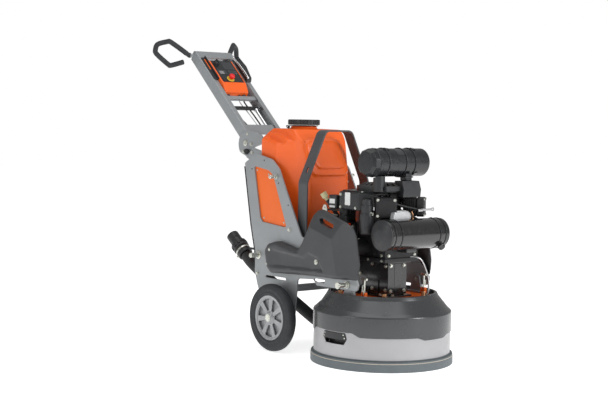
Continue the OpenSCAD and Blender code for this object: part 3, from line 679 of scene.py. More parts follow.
def shroud():
    """The skirt, the rubber lip and the strap that holds it."""
    dust_cover()
    wall = lathe(fillet([(SKIRT_R - 3, 40), (SKIRT_R, 40), (SKIRT_R, 230), (SKIRT_R - 16, 230),
                         (SKIRT_R - 16, 227), (SKIRT_R - 3, 227)], 0.8, steps=2), 256, closed=True)
    skirt = piece("skirt_sheet", SKIRT_GREY, "shroud", "skirt_grey", wall, replaces=("skirt_ring",))
    holes = []
    outline = fillet([(-70, 132), (-56, 110), (56, 110), (70, 132), (60, 160), (-60, 160)], 4)
    for turn in (GRIP_TURN, -GRIP_TURN):
        hole = plate([(p.x, p.y) for p in outline], 90, edge=0)
        holes.append(transformed(hole, Matrix.Rotation(math.radians(turn), 4, "Z") @ crosswise(260)))
    port = fillet([(-39, 46), (39, 46), (39, 132), (-39, 132)], 38.5, steps=10)
    holes.append(transformed(plate([(p.x, p.y) for p in port], 80, edge=0), crosswise(-345)))
    cut_away(skirt, *holes)
    for side, turn in (("right", GRIP_TURN), ("left", -GRIP_TURN)):
        hand_grip(side, turn)
    lip = fillet([(SKIRT_R + 0.2, 47), (LIP_R - 3, 47), (LIP_R - 1.4, 41), (LIP_R - 2.2, 39),
                  (LIP_R - 0.4, 36),
                  (LIP_R, 0.3), (LIP_R - 10, 0.3), (LIP_R - 11, 30), (SKIRT_R + 0.2, 34)],
                 [0.8, 2.5, 1, 0.6, 2, 2.5, 2, 2, 0.8], steps=3)
    piece("lip_band", LIP_RUBBER, "shroud", "grey_rubber", lathe(lip, 192, closed=True),
          replaces=("rubber_lip",))
    stripe = fillet([(LIP_R - 3, 37.4), (LIP_R - 0.9, 37.4), (LIP_R - 0.9, 40.4), (LIP_R - 3, 40.4)], 0.6,
                    steps=2)
    piece("lip_stripe", LIP_CORD, "shroud", "grey_rubber", lathe(stripe, 192, closed=True))
    band = fillet([(SKIRT_R + 0.2, 47.2), (SKIRT_R + 1.8, 47.2), (SKIRT_R + 1.8, 53), (SKIRT_R + 0.2, 53)],
                  0.5, steps=2)
    strap = piece("lip_clamp_band", LIP_RUBBER, "shroud", "grey_rubber", lathe(band, 192, closed=True))
    cut_away(strap, block((-345, -42, 40), (-280, 42, 60)))


def hand_grip(side, turn):
    """A black grip in a hexagonal hole of the skirt."""
    outline = fillet([(-73, 133), (73, 133), (63, 163), (-63, 163)], 4)
    rim = curved([(p.x, p.y) for p in outline], SKIRT_R + 0.2, 4.4, 1.4)
    pocket = fillet([(-66, 107), (66, 107), (71, 133), (-71, 133)], 3)
    back = curved([(p.x, p.y) for p in pocket], SKIRT_R - 34, 3, 0.5)
    bar = curved([(p.x, p.y) for p in fillet([(-69, 131), (69, 131), (69, 139), (-69, 139)], 3)],
                 SKIRT_R - 33, 32, 2)
    floor = curved([(-62, 105), (62, 105), (62, 108), (-62, 108)], SKIRT_R - 33, 28, 0.5)
    ends = [block((SKIRT_R - 33, s * 66 - 2, 107), (SKIRT_R - 14, s * 66 + 2, 136), 0.6) for s in (-1, 1)]
    spin = Matrix.Rotation(math.radians(turn), 4, "Z")
    shapes = [transformed(bm, spin) for bm in (rim, back, bar, floor, *ends)]
    piece("hand_grip_" + side, BLACK_PLASTIC, "shroud", "black_plastic", *shapes,
          replaces=("shroud_grips",))
    screws = []
    for u, z in ((-56, 155), (56, 155), (-62, 141), (62, 141)):
        a = math.radians(turn) + u / SKIRT_R
        out = Vector((math.cos(a), math.sin(a), 0))
        screws.append(cap_screw(out * (SKIRT_R + 4.4) + Vector((0, 0, z)), out, 3.4, 1.8))
    piece("hand_grip_screws_" + side, ZINC, "shroud", "zinc", *screws)


shroud()

# ---------------------------------------------------------------- wheels

WHEEL_AXIS = (low("tyre_right") + high("tyre_right")) / 2
WHEEL_R = (high("tyre_right").z - low("tyre_right").z) / 2
WHEEL_HALF = (high("tyre_right").y - low("tyre_right").y) / 2
SPOKES = 7


def wheel(side):
    """A wheel about Z, with its outer face up, then stood beside the machine."""
    y = abs(WHEEL_AXIS.y) * (-1 if side == "right" else 1)
    stand = facing((WHEEL_AXIS.x, y, WHEEL_AXIS.z), (0, math.copysign(1, y), 0))
    w = WHEEL_HALF
    section = [(108, -w + 3), (118, -w), (124, -w + 1.2), (140, -w), (155, -w + 4), (WHEEL_R - 1.5, -w + 13),
               (WHEEL_R, 0), (WHEEL_R - 1.5, w - 13), (155, w - 4), (140, w), (124, w - 1.2), (118,
                                                                                               w), (108,
                                                                                                    w - 3)]
    radii = [2, 3, 2, 8, 9, 10, 60, 10, 9, 8, 2, 3, 2]
    tread = lathe(fillet(section, radii, steps=4), 128, closed=True)
    piece("tyre_body_" + side, TYRE, "wheel_" + side, "tyre", transformed(tread, stand),
          replaces=("tyre_" + side,))
    rim = fillet([(96, -w + 5), (107.8, -w + 2), (107.8, w - 2), (96, w - 5)], 2, steps=3)
    shapes = [lathe(rim, 96, closed=True)]
    holes = []
    for k in range(SPOKES):
        middle = 360 / SPOKES * k + 8
        inner = arc(0, 0, 36, middle - 11, middle + 11, 6)
        outer = arc(0, 0, 91, middle + 17, middle - 17, 12)
        holes.append([(p.x, p.y) for p in fillet(inner + outer, [5] + [0] * 5 + [5] + [5] + [0] * 11 + [5],
                                                 steps=4)])
    face = plate(circle(0, 0, 97, 96), 6, holes, 1.6, 3)
    shapes.append(transformed(face, place(z=w - 13)))
    back_face = plate(circle(0, 0, 97, 96), 6, [list(h) for h in holes], 1.6, 3)
    shapes.append(transformed(back_face, place(z=-w + 7)))
    shapes.append(lathe(fillet([(10.3, -6), (97, -2.5), (97, 2.5), (10.3, 6)], 0.5, steps=2), 96,
                        closed=True))
    boss = fillet([(10.3, -w - 2), (24, -w - 2), (31, -w + 8), (31, w - 8), (24, w + 2), (10.3, w + 2)],
                  2.5, steps=3)
    shapes.append(lathe(boss, 64, closed=True))
    for k in range(SPOKES):
        turn = math.radians(360 / SPOKES * (k + 0.5) + 8)
        rib = block((30, -2, -w + 9), (95, 2, w - 9), 0.8)
        shapes.append(transformed(rib, Matrix.Rotation(turn, 4, "Z")))
    piece("hub_body_" + side, HUB_GREY, "wheel_" + side, "aluminium",
          *[transformed(bm, stand) for bm in shapes], replaces=("hub_" + side,))


for side in ("right", "left"):
    wheel(side)


def axle_stubs():
    """The stub axles of both wheels."""
    shapes = []
    for s in (-1, 1):
        inner = s * 208
        axis = (0, s, 0)
        shapes.append(transformed(rounded_rod(97, 9.9, 0.8),
                                  facing((WHEEL_AXIS.x, inner, WHEEL_AXIS.z), axis)))
        shapes.append(transformed(rounded_rod(30, 17, 1.5),
                                  facing((WHEEL_AXIS.x, s * 225.2, WHEEL_AXIS.z), axis)))
        shapes.append(transformed(tube_ring(18, 9, 2, 0.4),
                                  facing((WHEEL_AXIS.x, s * 309.4, WHEEL_AXIS.z), axis)))
        shapes.append(transformed(rounded_rod(1.2, 12, 0.4, 24),
                                  facing((WHEEL_AXIS.x, s * 311.5, WHEEL_AXIS.z), axis)))
    piece("axle_stub_pair", ZINC, "chassis", "steel", *shapes, replaces=("wheel_stubs",))


axle_stubs()

# ---------------------------------------------------------------- chassis

PLATE_Y = high("side_plate_left").y
PLATE_T = 8.0
PLATE_IN = PLATE_Y - PLATE_T
SIDES = (("right", -1), ("left", 1))
PLATE_LINE = [
    (-773, 895), (-687, 941), (-560, 915), (-504, 872), (-491, 847), (-326, 557), (-200, 540),
    (-68, 470), (-5, 464), (24, 440), (60, 416), (83, 370), (76, 348), (64, 342), (-208, 340),
    (-233, 366), (-340, 358), (-350, 350), (-361, 256), (-376, 110), (-430, 84), (-500, 84),
    (-610, 190), (-663, 294), (-687, 361), (-685, 459), (-719, 585), (-780, 889),
]
PLATE_RADII = [3, 22, 60, 60, 40, 12, 60, 30, 30, 30, 30, 14, 8, 6, 6, 12, 12, 10, 30, 45, 60, 60,
               60, 60, 40, 60, 60, 3]
WINDOW_LINE = [(-703, 878), (-585, 861), (-550, 839), (-443, 600), (-451, 593), (-631, 608), (-649, 628)]
WINDOW_RADII = [8, 40, 60, 9, 9, 14, 14]
INSET_LINE = [(-712, 888), (-580, 872), (-540, 846), (-430, 600), (-446, 582), (-640, 598), (-660, 624)]


def flat(points):
    return [(p[0], p[1]) for p in points]


def both_sides(name, material, body, slot, make, **options):
    """One piece for each side of the machine; make gives the right-hand shapes."""
    made = []
    for side, s in SIDES:
        shapes = make()
        if s > 0:
            shapes = [transformed(bm, MIRROR) for bm in shapes]
        replaced = tuple(n.format(side) for n in options.get("replaces", ()))
        rest = {k: v for k, v in options.items() if k != "replaces"}
        made.append(piece(f"{name}_{side}", material, body.format(side), slot, *shapes, replaces=replaced,
                          **rest))
    return made


def side_plate_shapes():
    bores = [(-623, 908), (-721, 863), (-506, 802), (-430, 700), (-670, 357)]
    holes = [flat(fillet(WINDOW_LINE, WINDOW_RADII))]
    holes += [circle(x, z, 4.2, 16) for x, z in bores]
    holes += [circle(-522, 832, 9.2), slot_line((-592, 344), (-445, 344), 6)]
    holes += [flat(fillet([(-232, 362), (-208, 356), (-152, 356), (-148, 372), (-224, 372)], 4))]
    line = flat(fillet(PLATE_LINE, PLATE_RADII))
    return [transformed(plate(line, PLATE_T, holes, 0.9), upright(-PLATE_IN))]


def inset_shapes():
    line = flat(fillet(INSET_LINE, 14))
    sheet = transformed(plate(line, 3.6, edge=0.6), upright(-PLATE_IN + 3.8))
    return [sheet]


def side_plates():
    """Both side plates and their orange insets."""
    both_sides("side_sheet", FRAME_GREY, "chassis", "frame_grey", side_plate_shapes,
               replaces=("side_plate_{}",))
    both_sides("inset_sheet", ORANGE_PAINT, "chassis", "orange_paint", inset_shapes,
               replaces=("inset_panels",))

    def screws():
        spots = [(-686, 858), (-594, 842), (-470, 614), (-626, 628)]
        return [cap_screw((x, -PLATE_IN - 0.2, z), (0, -1, 0), 4.6, 2.2) for x, z in spots]

    both_sides("inset_screws", ZINC, "chassis", "zinc", screws)

    def strip():
        line = [(-784, 874), (-726, 585), (-692, 459), (-694, 361), (-688, 361), (-686, 459), (-720, 585),
                (-778, 873)]
        shapes = [transformed(plate(flat(fillet(line, 1.5)), 16, edge=1.5), upright(-PLATE_IN + 6))]
        return shapes

    both_sides("edge_strip", RUBBER, "chassis", "black_rubber", strip, replaces=("edge_strips",))


def fasteners():
    """Bolts, rivets, washers and collars of the chassis."""
    def zinc_parts():
        out = (0, -1, 0)
        tilt = (8, 366)
        shapes = [
            transformed(rounded_rod(50, 12, 2), facing((-658, -PLATE_Y, 443), out)),
            transformed(lathe(fillet([(0, 0), (21, 0), (21, 3), (14, 4.5), (0, 4.5)], 0.8, closed=False)),
                        facing((-658, -PLATE_Y - 0.1, 443), out)),
            bolt((-416, -PLATE_Y - 0.1, 584), out, 9, spin=12),
            bolt((-663, -PLATE_Y - 0.1, 352), out, 8, spin=4),
            transformed(rounded_rod(72, 9.9, 1.2), facing((tilt[0], -PLATE_IN + 12, tilt[1]), out)),
            transformed(tube_ring(17, 9.7, 5, 1), facing((tilt[0], -PLATE_Y - 0.1, tilt[1]), out)),
            transformed(hexagon(26, 9, 1), facing((tilt[0], -PLATE_Y - 5, tilt[1]), out, 20)),
            transformed(tube_ring(15.5, 9.5, 12, 1.4), facing((tilt[0], -PLATE_Y - 48, tilt[1]), out)),
            transformed(rounded_rod(3, 10, 0.8), facing((tilt[0], -PLATE_Y - 58, tilt[1]), out)),
            transformed(rounded_rod(26, 9.9, 0.8), facing((-906, -110, 987), out)),
            transformed(lathe(fillet([(0, 0), (17, 0), (17, 3), (12.5, 3.6), (0, 3.6)], 0.7, closed=False)),
                        facing((-906, -129.6, 987), out)),
            bolt((-906, -133, 987), out, 11, washer=False, spin=10),
        ]
        return shapes

    both_sides("zinc_fasteners", ZINC, "chassis", "zinc", zinc_parts, replaces=("chassis_fasteners",))

    def plunger_sleeve():
        return [transformed(tube_ring(12.5, 5.05, 6, 1), facing((-522, -PLATE_Y - 0.1, 832), (0, -1, 0))),
                transformed(lathe(fillet([(5.1, 0), (9, 0), (9, 13), (7.4, 15), (5.1, 15)], 0.8), 6,
                                  closed=True),
                            facing((-522, -PLATE_Y - 6, 832), (0, -1, 0)))]

    both_sides("plunger_sleeve", ZINC, "chassis", "zinc", plunger_sleeve)
    pull = [transformed(rounded_rod(46, 4.9, 0.8), facing((-522, -PLATE_IN + 2, 832), (0, -1, 0))),
            transformed(lathe(fillet([(0, 0), (6, 0), (10, 5), (10, 20), (7, 24), (0, 24)],
                                     [0, 1, 2, 3, 2, 0],
                                     closed=False), 40), facing((-522, -PLATE_Y - 21, 832), (0, -1, 0)))]
    far = [transformed(joined(*[b.copy() for b in pull]), MIRROR)]
    piece("plunger_pull", ZINC, "plunger", "zinc", *pull, *far, replaces=("plunger_pin",))


def loop_bar():
    """The flat bar frame in front of the tank."""
    x = -357.5
    half = [(x, 193, 416), (x, 193, 813), (x, 80, 1057)]
    path = half + [(p[0], -p[1], p[2]) for p in reversed(half)]
    section = flat(fillet([(-32.5, -4), (32.5, -4), (32.5, 4), (-32.5, 4)], 1.6, steps=3))
    line = fillet(path, [0, 60, 34, 34, 60, 0], closed=False, steps=10)
    bm = sweep(line, [(v, u) for u, v in section], up=(1, 0, 0))
    bar = piece("loop_bar_strap", BAR_GRAPHITE, "chassis", "bar_graphite", bm, replaces=("loop_bar",))
    cuts = []
    slope = math.atan2(1057 - 813, 80 - 193)
    for s in (1, -1):
        centre = Vector((x, s * 168, 871))
        along_bar = Vector((0, s * math.cos(slope), math.sin(slope)))
        across = Vector((1, 0, 0))
        normal = across.cross(along_bar)
        turn = Matrix((across, along_bar, normal)).transposed().to_4x4()
        cutter = plate(slot_line((0, -9), (0, 9), 7), 40, edge=0)
        cuts.append(transformed(cutter, Matrix.Translation(centre) @ turn @ place(z=-20)))
    cut_away(bar, *cuts)
    feet = []
    for s in (-1, 1):
        feet.append(block((-388, s * 201 if s < 0 else 150, 410.2), (-352, s * 150 if s < 0 else 201, 416),
                          1))
        feet.append(bolt((-370, s * 168, 416), (0, 0, 1), 8))
    piece("loop_bar_feet", BAR_GRAPHITE, "chassis", "bar_graphite", *feet)


# A moulded shell: an outline whose face stands off by a depth that changes over it


def near(point, a, b):
    """Distance from a point to a stretch, in the plane."""
    d = (b[0] - a[0], b[1] - a[1])
    t = ((point[0] - a[0]) * d[0] + (point[1] - a[1]) * d[1]) / (d[0] ** 2 + d[1] ** 2 + 1e-9)
    t = min(1, max(0, t))
    return math.hypot(point[0] - a[0] - t * d[0], point[1] - a[1] - t * d[1])


def edge_distance(point, loop):
    return min(near(point, a, b) for a, b in zip(loop, loop[1:] + loop[:1]))


def inside(point, loop):
    hit = False
    for a, b in zip(loop, loop[1:] + loop[:1]):
        if (a[1] > point[1]) != (b[1] > point[1]):
            if point[0] < a[0] + (point[1] - a[1]) / (b[1] - a[1]) * (b[0] - a[0]):
                hit = not hit
    return hit


def sampled(loop, step):
    line = []
    for a, b in zip(loop, loop[1:] + loop[:1]):
        length = math.hypot(b[0] - a[0], b[1] - a[1])
        count = max(1, int(length / step))
        line += [(a[0] + (b[0] - a[0]) * k / count, a[1] + (b[1] - a[1]) * k / count) for k in range(count)]
    return line


def relief(outline, depth, holes=(), creases=(), step=7, rim=(1.2, 3, 6, 10, 15), wall=None):
    """An open shell on the XY plane: z = depth(x, y, distance from the rim), with walls down to z = wall."""
    if signed_area(outline) < 0:
        outline = outline[::-1]
    outer = sampled(outline, step)
    loops = [outer] + [sampled(h, step * 0.6) for h in holes]
    points = []
    edges = []
    for loop in loops:
        base = len(points)
        points += loop
        edges += [(base + i, base + (i + 1) % len(loop)) for i in range(len(loop))]
    for back in rim:
        points += [p for p in inset(outer, back)
                   if inside(p, outer) and edge_distance(p, outer) > back * 0.93]
    for line in creases:
        for a, b in zip(line, line[1:]):
            count = max(1, int(math.dist(a, b) / step))
            base = len(points)
            points += [(a[0] + (b[0] - a[0]) * k / count, a[1] + (b[1] - a[1]) * k / count)
                       for k in range(count + 1)]
            edges += [(base + k, base + k + 1) for k in range(count)]
    xs, ys = [p[0] for p in outer], [p[1] for p in outer]
    row = 0
    y = min(ys)
    while y < max(ys):
        x = min(xs) + (step / 2 if row % 2 else 0)
        while x < max(xs):
            p = (x, y)
            if inside(p, outer) and edge_distance(p, outer) > rim[-1] + step * 0.4:
                if not any(inside(p, h) or edge_distance(p, h) < step * 0.4 for h in loops[1:]):
                    points.append(p)
            x += step
        y += step * 0.87
        row += 1
    result = geometry.delaunay_2d_cdt([Vector(p) for p in points], edges, [], 0, 0.05)
    verts, triangles = result[0], result[2]
    bm = bmesh.new()
    made = []
    for v in verts:
        p = (v.x, v.y)
        made.append(bm.verts.new((v.x, v.y, depth(v.x, v.y, edge_distance(p, outer)))))
    for t in triangles:
        c = (sum(verts[i].x for i in t) / 3, sum(verts[i].y for i in t) / 3)
        if inside(c, outer) and not any(inside(c, h) for h in loops[1:]):
            bm.faces.new([made[i] for i in t])
    loose = [v for v in bm.verts if not v.link_faces]
    bmesh.ops.delete(bm, geom=loose, context="VERTS")
    bmesh.ops.recalc_face_normals(bm, faces=bm.faces)
    if sum(f.normal.z for f in bm.faces) < 0:
        bmesh.ops.reverse_faces(bm, faces=bm.faces)
    if wall is not None:
        rim_edges = [e for e in bm.edges if e.is_boundary]
        made = bmesh.ops.extrude_edge_only(bm, edges=rim_edges)
        for v in (g for g in made["geom"] if isinstance(g, bmesh.types.BMVert)):
            v.co.z = wall
    return bm


def thickened(obj, thickness):
    modifier = obj.modifiers.new("wall", "SOLIDIFY")
    modifier.thickness = thickness * MM
    modifier.offset = -1
    modifier.use_even_offset = False
    obj.modifiers.move(len(obj.modifiers) - 1, 0)


COVER_LINE = [
    (-571, 476), (-542, 510), (-482, 526), (-315, 494), (-285, 537), (-216, 673), (-194, 692),
    (-170, 698), (-143, 692), (-1, 648), (40, 627), (62, 585), (86, 462), (80, 392), (-9, 389),
    (-297, 382), (-521, 369), (-550, 390),
]
COVER_RADII = [30, 40, 60, 16, 40, 40, 30, 40, 40, 40, 60, 60, 60, 12, 40, 60, 30, 30]
COVER_RECESS = [(-560, 496), (-493, 488), (-265, 471), (-234, 495), (-159, 481), (-112, 409), (-139, 413),
                (-393, 405), (-560, 398)]
COVER_SLOT = [(-172, 655), (-150, 658), (-70, 634), (-68, 616), (-92, 614), (-158, 635)]
COVER_STAND = 39.0


def beyond(x, z, a, b):
    """How far a point lies to the left of the line from a to b."""
    length = math.hypot(b[0] - a[0], b[1] - a[1])
    return ((b[0] - a[0]) * (z - a[1]) - (b[1] - a[1]) * (x - a[0])) / length


def cover_depth(x, z, d):
    top = COVER_STAND - 0.26 * max(0, beyond(x, z, (-214, 610), (-62, 570)))
    front = COVER_STAND - 0.34 * max(0, beyond(x, z, (-21, 396), (-62, 570)) * -1)
    shoulder = COVER_STAND - 0.30 * max(0, beyond(x, z, (-300, 502), (-214, 610)))
    if x < -290:
        shoulder = COVER_STAND
    tail = COVER_STAND - 0.22 * max(0, -556 - x)
    height = min(top, front, shoulder, tail)
    if inside((x, z), COVER_RECESS):
        t = eased(edge_distance((x, z), COVER_RECESS), 0, 8)
        height -= 6 * t * eased(x, -560, -430)
    lip = 0.0
    slot_near = edge_distance((x, z), COVER_SLOT)
    if slot_near < 12:
        lip = 2.5 * (1 - slot_near / 12)
    r = min(17, height * 0.75)
    drop = r - math.sqrt(max(0, r * r - (r - d) ** 2)) if d < r else 0
    return height - drop - lip


def side_covers():
    """Both moulded side covers."""
    def shell():
        creases = [[(-300, 502), (-214, 610), (-62, 570), (-45, 520), (-24, 410)],
                   [(-480, 486), (-265, 471), (-234, 495), (-159, 481), (-118, 416)]]
        bm = relief(flat(fillet(COVER_LINE, COVER_RADII)), cover_depth, [flat(fillet(COVER_SLOT, 6))],
                    creases, step=7, wall=1)
        return [transformed(bm, upright(-PLATE_Y))]

    made = both_sides("side_shell", GRAPHITE, "chassis", "cover_graphite", shell,
                      replaces=("side_cover_{}",), smooth=40, weighted=False)
    for obj in made:
        thickened(obj, 3.2)

    def bolts():
        face = -PLATE_Y - COVER_STAND
        out = (0, -1, 0)
        return [
            transformed(lathe(fillet([(0, 0), (20, 0), (20, 1.6), (13, 2.4), (0, 2.4)], 0.5, closed=False)),
                        facing((-522, face + 5.5, 482), out)),
            bolt((-522, face + 3.2, 482), out, 8, washer=False, spin=15),
            transformed(tube_ring(12, 4, 1.6, 0.4), facing((-176, face + 6.4, 454), out)),
            cap_screw((-176, face + 5.2, 454), out, 7.5, 5),
            cap_screw((-543, face + 2.4, 411), out, 4.5, 2.4),
        ]

    both_sides("side_shell_bolts", ZINC, "chassis", "zinc", bolts)


# ---------------------------------------------------------------- tank


def moulded(name, material, body, slot, shapes, voxel=5.0, passes=8, replaces=()):
    """Shapes fused into one soft-cornered body, as a rotational moulding is."""
    obj = piece(name, material, body, slot, *shapes, replaces=replaces, weighted=False)
    remesh = obj.modifiers.new("fuse", "REMESH")
    remesh.mode = "VOXEL"
    remesh.voxel_size = voxel * MM
    soften = obj.modifiers.new("soften", "SMOOTH")
    soften.factor = 0.5
    soften.iterations = passes
    evaluated = obj.evaluated_get(bpy.context.evaluated_depsgraph_get())
    result = bpy.data.meshes.new_from_object(evaluated)
    obj.modifiers.clear()
    obj.data = result
    result.shade_smooth()
    if not result.materials:
        result.materials.append(material)
    return obj


def slab(outline, a, b):
    """An XZ outline from y = a to y = b."""
    return transformed(plate(outline, b - a, edge=0), upright(b))


def plan_slab(outline, a, b):
    """An XY outline from z = a to z = b."""
    return transformed(plate(outline, b - a, edge=0), place(z=a))


def common(a, b):
    """What two shapes share."""
    objects = []
    for bm in (a, b):
        mesh = bpy.data.meshes.new("part")
        bm.to_mesh(mesh)
        bm.free()
        obj = bpy.data.objects.new("part", mesh)
        bpy.context.scene.collection.objects.link(obj)
        objects.append(obj)
    modifier = objects[0].modifiers.new("common", "BOOLEAN")
    modifier.operation = "INTERSECT"
    modifier.object = objects[1]
    modifier.solver = "EXACT"
    evaluated = objects[0].evaluated_get(bpy.context.evaluated_depsgraph_get())
    result = bpy.data.meshes.new_from_object(evaluated)
    whole = bmesh.new()
    whole.from_mesh(result)
    for obj in objects:
        bpy.data.objects.remove(obj)
    return whole


def tank():
    """The orange tank and its front pad."""
    wide = high("main_tank").y
    plan = [(-701, -wide + 24), (-672, -wide), (-560, -wide), (-470, -152), (-391, -118),
            (-391, 118), (-470, 152), (-560, wide), (-672, wide), (-701, wide - 24)]
    lower = [(-680, 411), (-690, 940), (-700, 1000), (-655, 1024), (-600, 1008), (-500, 982), (-452, 930),
             (-416, 868), (-394, 800), (-392, 411)]
    middle = [(-680, 411), (-690, 940), (-701, 1022), (-652, 1046), (-560, 1036), (-488, 1004), (-440, 950),
              (-404, 872), (-392, 800), (-392, 411)]
    core = [(-680, 411), (-690, 940), (-700, 1040), (-650, 1065), (-492, 1062), (-440, 1006), (-398, 872),
            (-391, 800), (-391, 411)]
    shapes = [
        common(slab(lower, -wide, wide), plan_slab(plan, 410, 1070)),
        common(slab(middle, -176, 176), plan_slab(plan, 410, 1070)),
        common(slab(core, -152, 152), plan_slab(plan, 410, 1070)),
    ]
    slope = math.atan2(134, 42)
    lean = Matrix.Translation((-419, 0, 938)) @ Matrix.Rotation(math.pi / 2 - slope, 4, "Y").inverted()
    for half_y, half_z, lift, drop in ((116, 92, 7, -10), (92, 70, 17, 0)):
        outline = flat(fillet([(-half_y, -half_z), (half_y, -half_z), (half_y, half_z), (-half_y, half_z)],
                              38))
        pad = transformed(plate(outline, lift + 30, edge=0), crosswise(-30))
        shapes.append(transformed(pad, lean @ place(z=drop)))
    shapes.append(transformed(lathe([(0, 0), (66, 0), (62, 26), (0, 26)], 48), place(-597, 0, 1056)))
    moulded("tank_shell", ORANGE, "chassis", "orange_plastic", shapes, 5.0, 7, ("main_tank",))


def tank_cap():
    """The ribbed cap of the tank."""
    def ribbed(r, z, angle):
        if r < 74 or not 1.5 < z < 24.5:
            return r
        wave = math.cos(math.radians(angle * 30))
        return r - 2.2 + 3.2 * max(0, wave) ** 0.5
    side = fillet([(0, 21), (56, 21), (61, 26.5), (78, 26.8), (78, 1), (66, 1)], [0, 3, 3, 4, 2, 0],
                  closed=False,
                  steps=4)
    cap = lathe(side, 360, radius=ribbed)
    skirt = tube_ring(76, 72, 8, 1)
    piece("tank_cap_ribbed", BLACK_PLASTIC, "cap", "black_plastic",
          transformed(cap, place(-597, 0, 1083)), transformed(skirt, place(-597, 0, 1083)),
          replaces=("tank_cap",))
    neck = lathe(fillet([(60, 0), (71, 0), (71, 4), (60, 4)], 1.5, steps=3), 64, closed=True)
    tether = joined(transformed(rounded_rod(14, 6, 3), facing((-640, -62, 1066), (0, 0, 1))),
                    sweep(fillet([(-640, -62, 1078), (-652, -68, 1080), (-660, -58, 1070),
                                  (-650, -50, 1064)], 6,
                                 closed=False), 2))
    piece("cap_seat", BLACK_PLASTIC, "chassis", "black_plastic",
          transformed(neck, place(-597, 0, 1077)), tether)


# ---------------------------------------------------------------- hinge and hose


def hinge_plates():
    """The sector plates of the handle's hinge."""
    sector = [(-954, 1033), (-968, 981), (-957, 941), (-890, 916), (-833, 966), (-755, 988), (-767, 1025),
              (-808, 1043), (-883, 1049)]
    radii = [45, 60, 30, 12, 16, 6, 30, 60, 60]
    flange = [(-784, 884), (-777, 878), (-703, 925), (-710, 934)]
    gusset = [(-890, 916), (-833, 966), (-703, 938), (-790, 874)]

    def sheets():
        rounded = flat(fillet(sector, radii))
        return [
            transformed(plate(rounded, 8, [circle(-906, 987, 10)], 0.9), upright(-121.5)),
            transformed(plate(flange, 87, edge=0.8), upright(-129.6)),
            transformed(plate(flat(fillet(gusset, 4)), 6, edge=0.8), upright(-131.5)),
        ]

    both_sides("hinge_sheet", FRAME_GREY, "chassis", "frame_grey", sheets, replaces=("hinge_brackets",))

    def bolts():
        spots = ((-890, 1033, 7), (-857, 982, 8), (-922, 944, 9), (-838, 940, 8))
        return [bolt((x, -129.6 - (8 if z == 940 else 0), z), (0, -1, 0), size, spin=x) for x, z,
                size in spots]

    both_sides("hinge_bolts", ZINC, "chassis", "zinc", bolts)

    def stops():
        return [transformed(rounded_rod(22, 13, 3), facing((-872, -143, 934), (-0.55, 0, 0.83)))]

    both_sides("hinge_stop", RUBBER, "chassis", "black_rubber", stops)


HOSE_ROUTE = [(-345, 0, 93), (-400, 0, 102), (-480, -8, 132), (-560, -24, 176), (-640, -48, 228),
              (-720, -78, 284), (-800, -106, 342), (-860, -120, 386), (-900, -120, 416)]
COUPLING_AXIS = Vector((-0.8, 0, 0.6))
COUPLING_START = Vector((-900, -120, 416))


def smooth_route(points, steps):
    """A catmull-rom curve through points."""
    points = [Vector(p) for p in points]
    line = []
    for i in range(len(points) - 1):
        a, b = points[max(i - 1, 0)], points[i]
        c, d = points[i + 1], points[min(i + 2, len(points) - 1)]
        for k in range(steps):
            t = k / steps
            line.append(0.5 * (2 * b + (c - a) * t + (2 * a - 5 * b + 4 * c - d) * t * t
                               + (3 * b - a - 3 * c + d) * t ** 3))
    return line + [points[-1]]


def even_steps(line, step):
    """The same line with points at even distances."""
    spots = [line[0]]
    carry = 0.0
    for a, b in zip(line, line[1:]):
        length = (b - a).length
        at = step - carry
        while at <= length:
            spots.append(a + (b - a) * (at / length))
            at += step
        carry = (carry + length) % step
    return spots + [line[-1]]


def dust_hose():
    """The ribbed hose from the shroud's port to the coupling."""
    pitch = 9.0
    line = even_steps(smooth_route(HOSE_ROUTE, 24), pitch / 4)
    wave = [1.0, 1.02, 1.0, 0.94]
    bm = sweep(line, 29.2, up=(0, 1, 0), sizes=[wave[k % 4] for k in range(len(line))])
    hose = piece("dust_hose_ribbed", RUBBER, None, "black_rubber", bm, replaces=("dust_hose",),
                 weighted=False,
                 smooth=60)
    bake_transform(hose)


def coupling():
    """The dust coupling at the rear end of the hose."""
    section = [(37, 2), (38, 8), (38, 14), (36, 16), (36, 22), (38, 24), (38, 34), (35, 36), (35, 44),
               (41.5, 47),
               (41.5, 56), (39, 59), (39, 66), (41.5, 69), (41.5, 82), (34, 85), (32, 88), (32,
                                                                                            108), (30.5,
                                                                                                   110),
               (30.5, 114), (32, 116), (32, 150), (26, 150), (25.5, 14), (30, 2)]
    body = transformed(lathe(fillet(section, 0.9, steps=2), 64, closed=True),
                       facing(COUPLING_START, COUPLING_AXIS))
    lugs = []
    for k in range(8):
        lug = block((38, -6, 60), (43, 6, 80), 1.5)
        lugs.append(transformed(lug, facing(COUPLING_START, COUPLING_AXIS, 45 * k + 10)))
    stay = [block((-912, -125, 447), (-684, -115, 457), 1.5),
            block((-702, -125.5, 384), (-683, -114.5, 457.6), 1.5)]
    piece("hose_coupling", BLACK_PLASTIC, "chassis", "black_plastic", body, *lugs, *stay,
          replaces=("dust_coupling",))
    clamp = transformed(tube_ring(39.6, 37.6, 9, 0.6),
                        facing(COUPLING_START + COUPLING_AXIS * 25, COUPLING_AXIS))
    worm = transformed(block((36, -8, 0), (47, 8, 9), 1),
                       facing(COUPLING_START + COUPLING_AXIS * 25, COUPLING_AXIS, 200))
    piece("hose_clamp", ZINC, "chassis", "zinc", clamp, worm)


side_plates()
fasteners()
loop_bar()
side_covers()
tank()
tank_cap()
hinge_plates()
dust_hose()
coupling()


# ---------------------------------------------------------------- handle

HANDLE = place(-906, 0, 987) @ Matrix.Rotation(math.radians(42.2), 4, "Y")
RAIL_LEN = 675
RAIL_Y = 120


def tipped(*shapes):
    """Shapes drawn in the handle's own frame, taken to where the handle is."""
    return [transformed(bm, HANDLE) for bm in shapes]


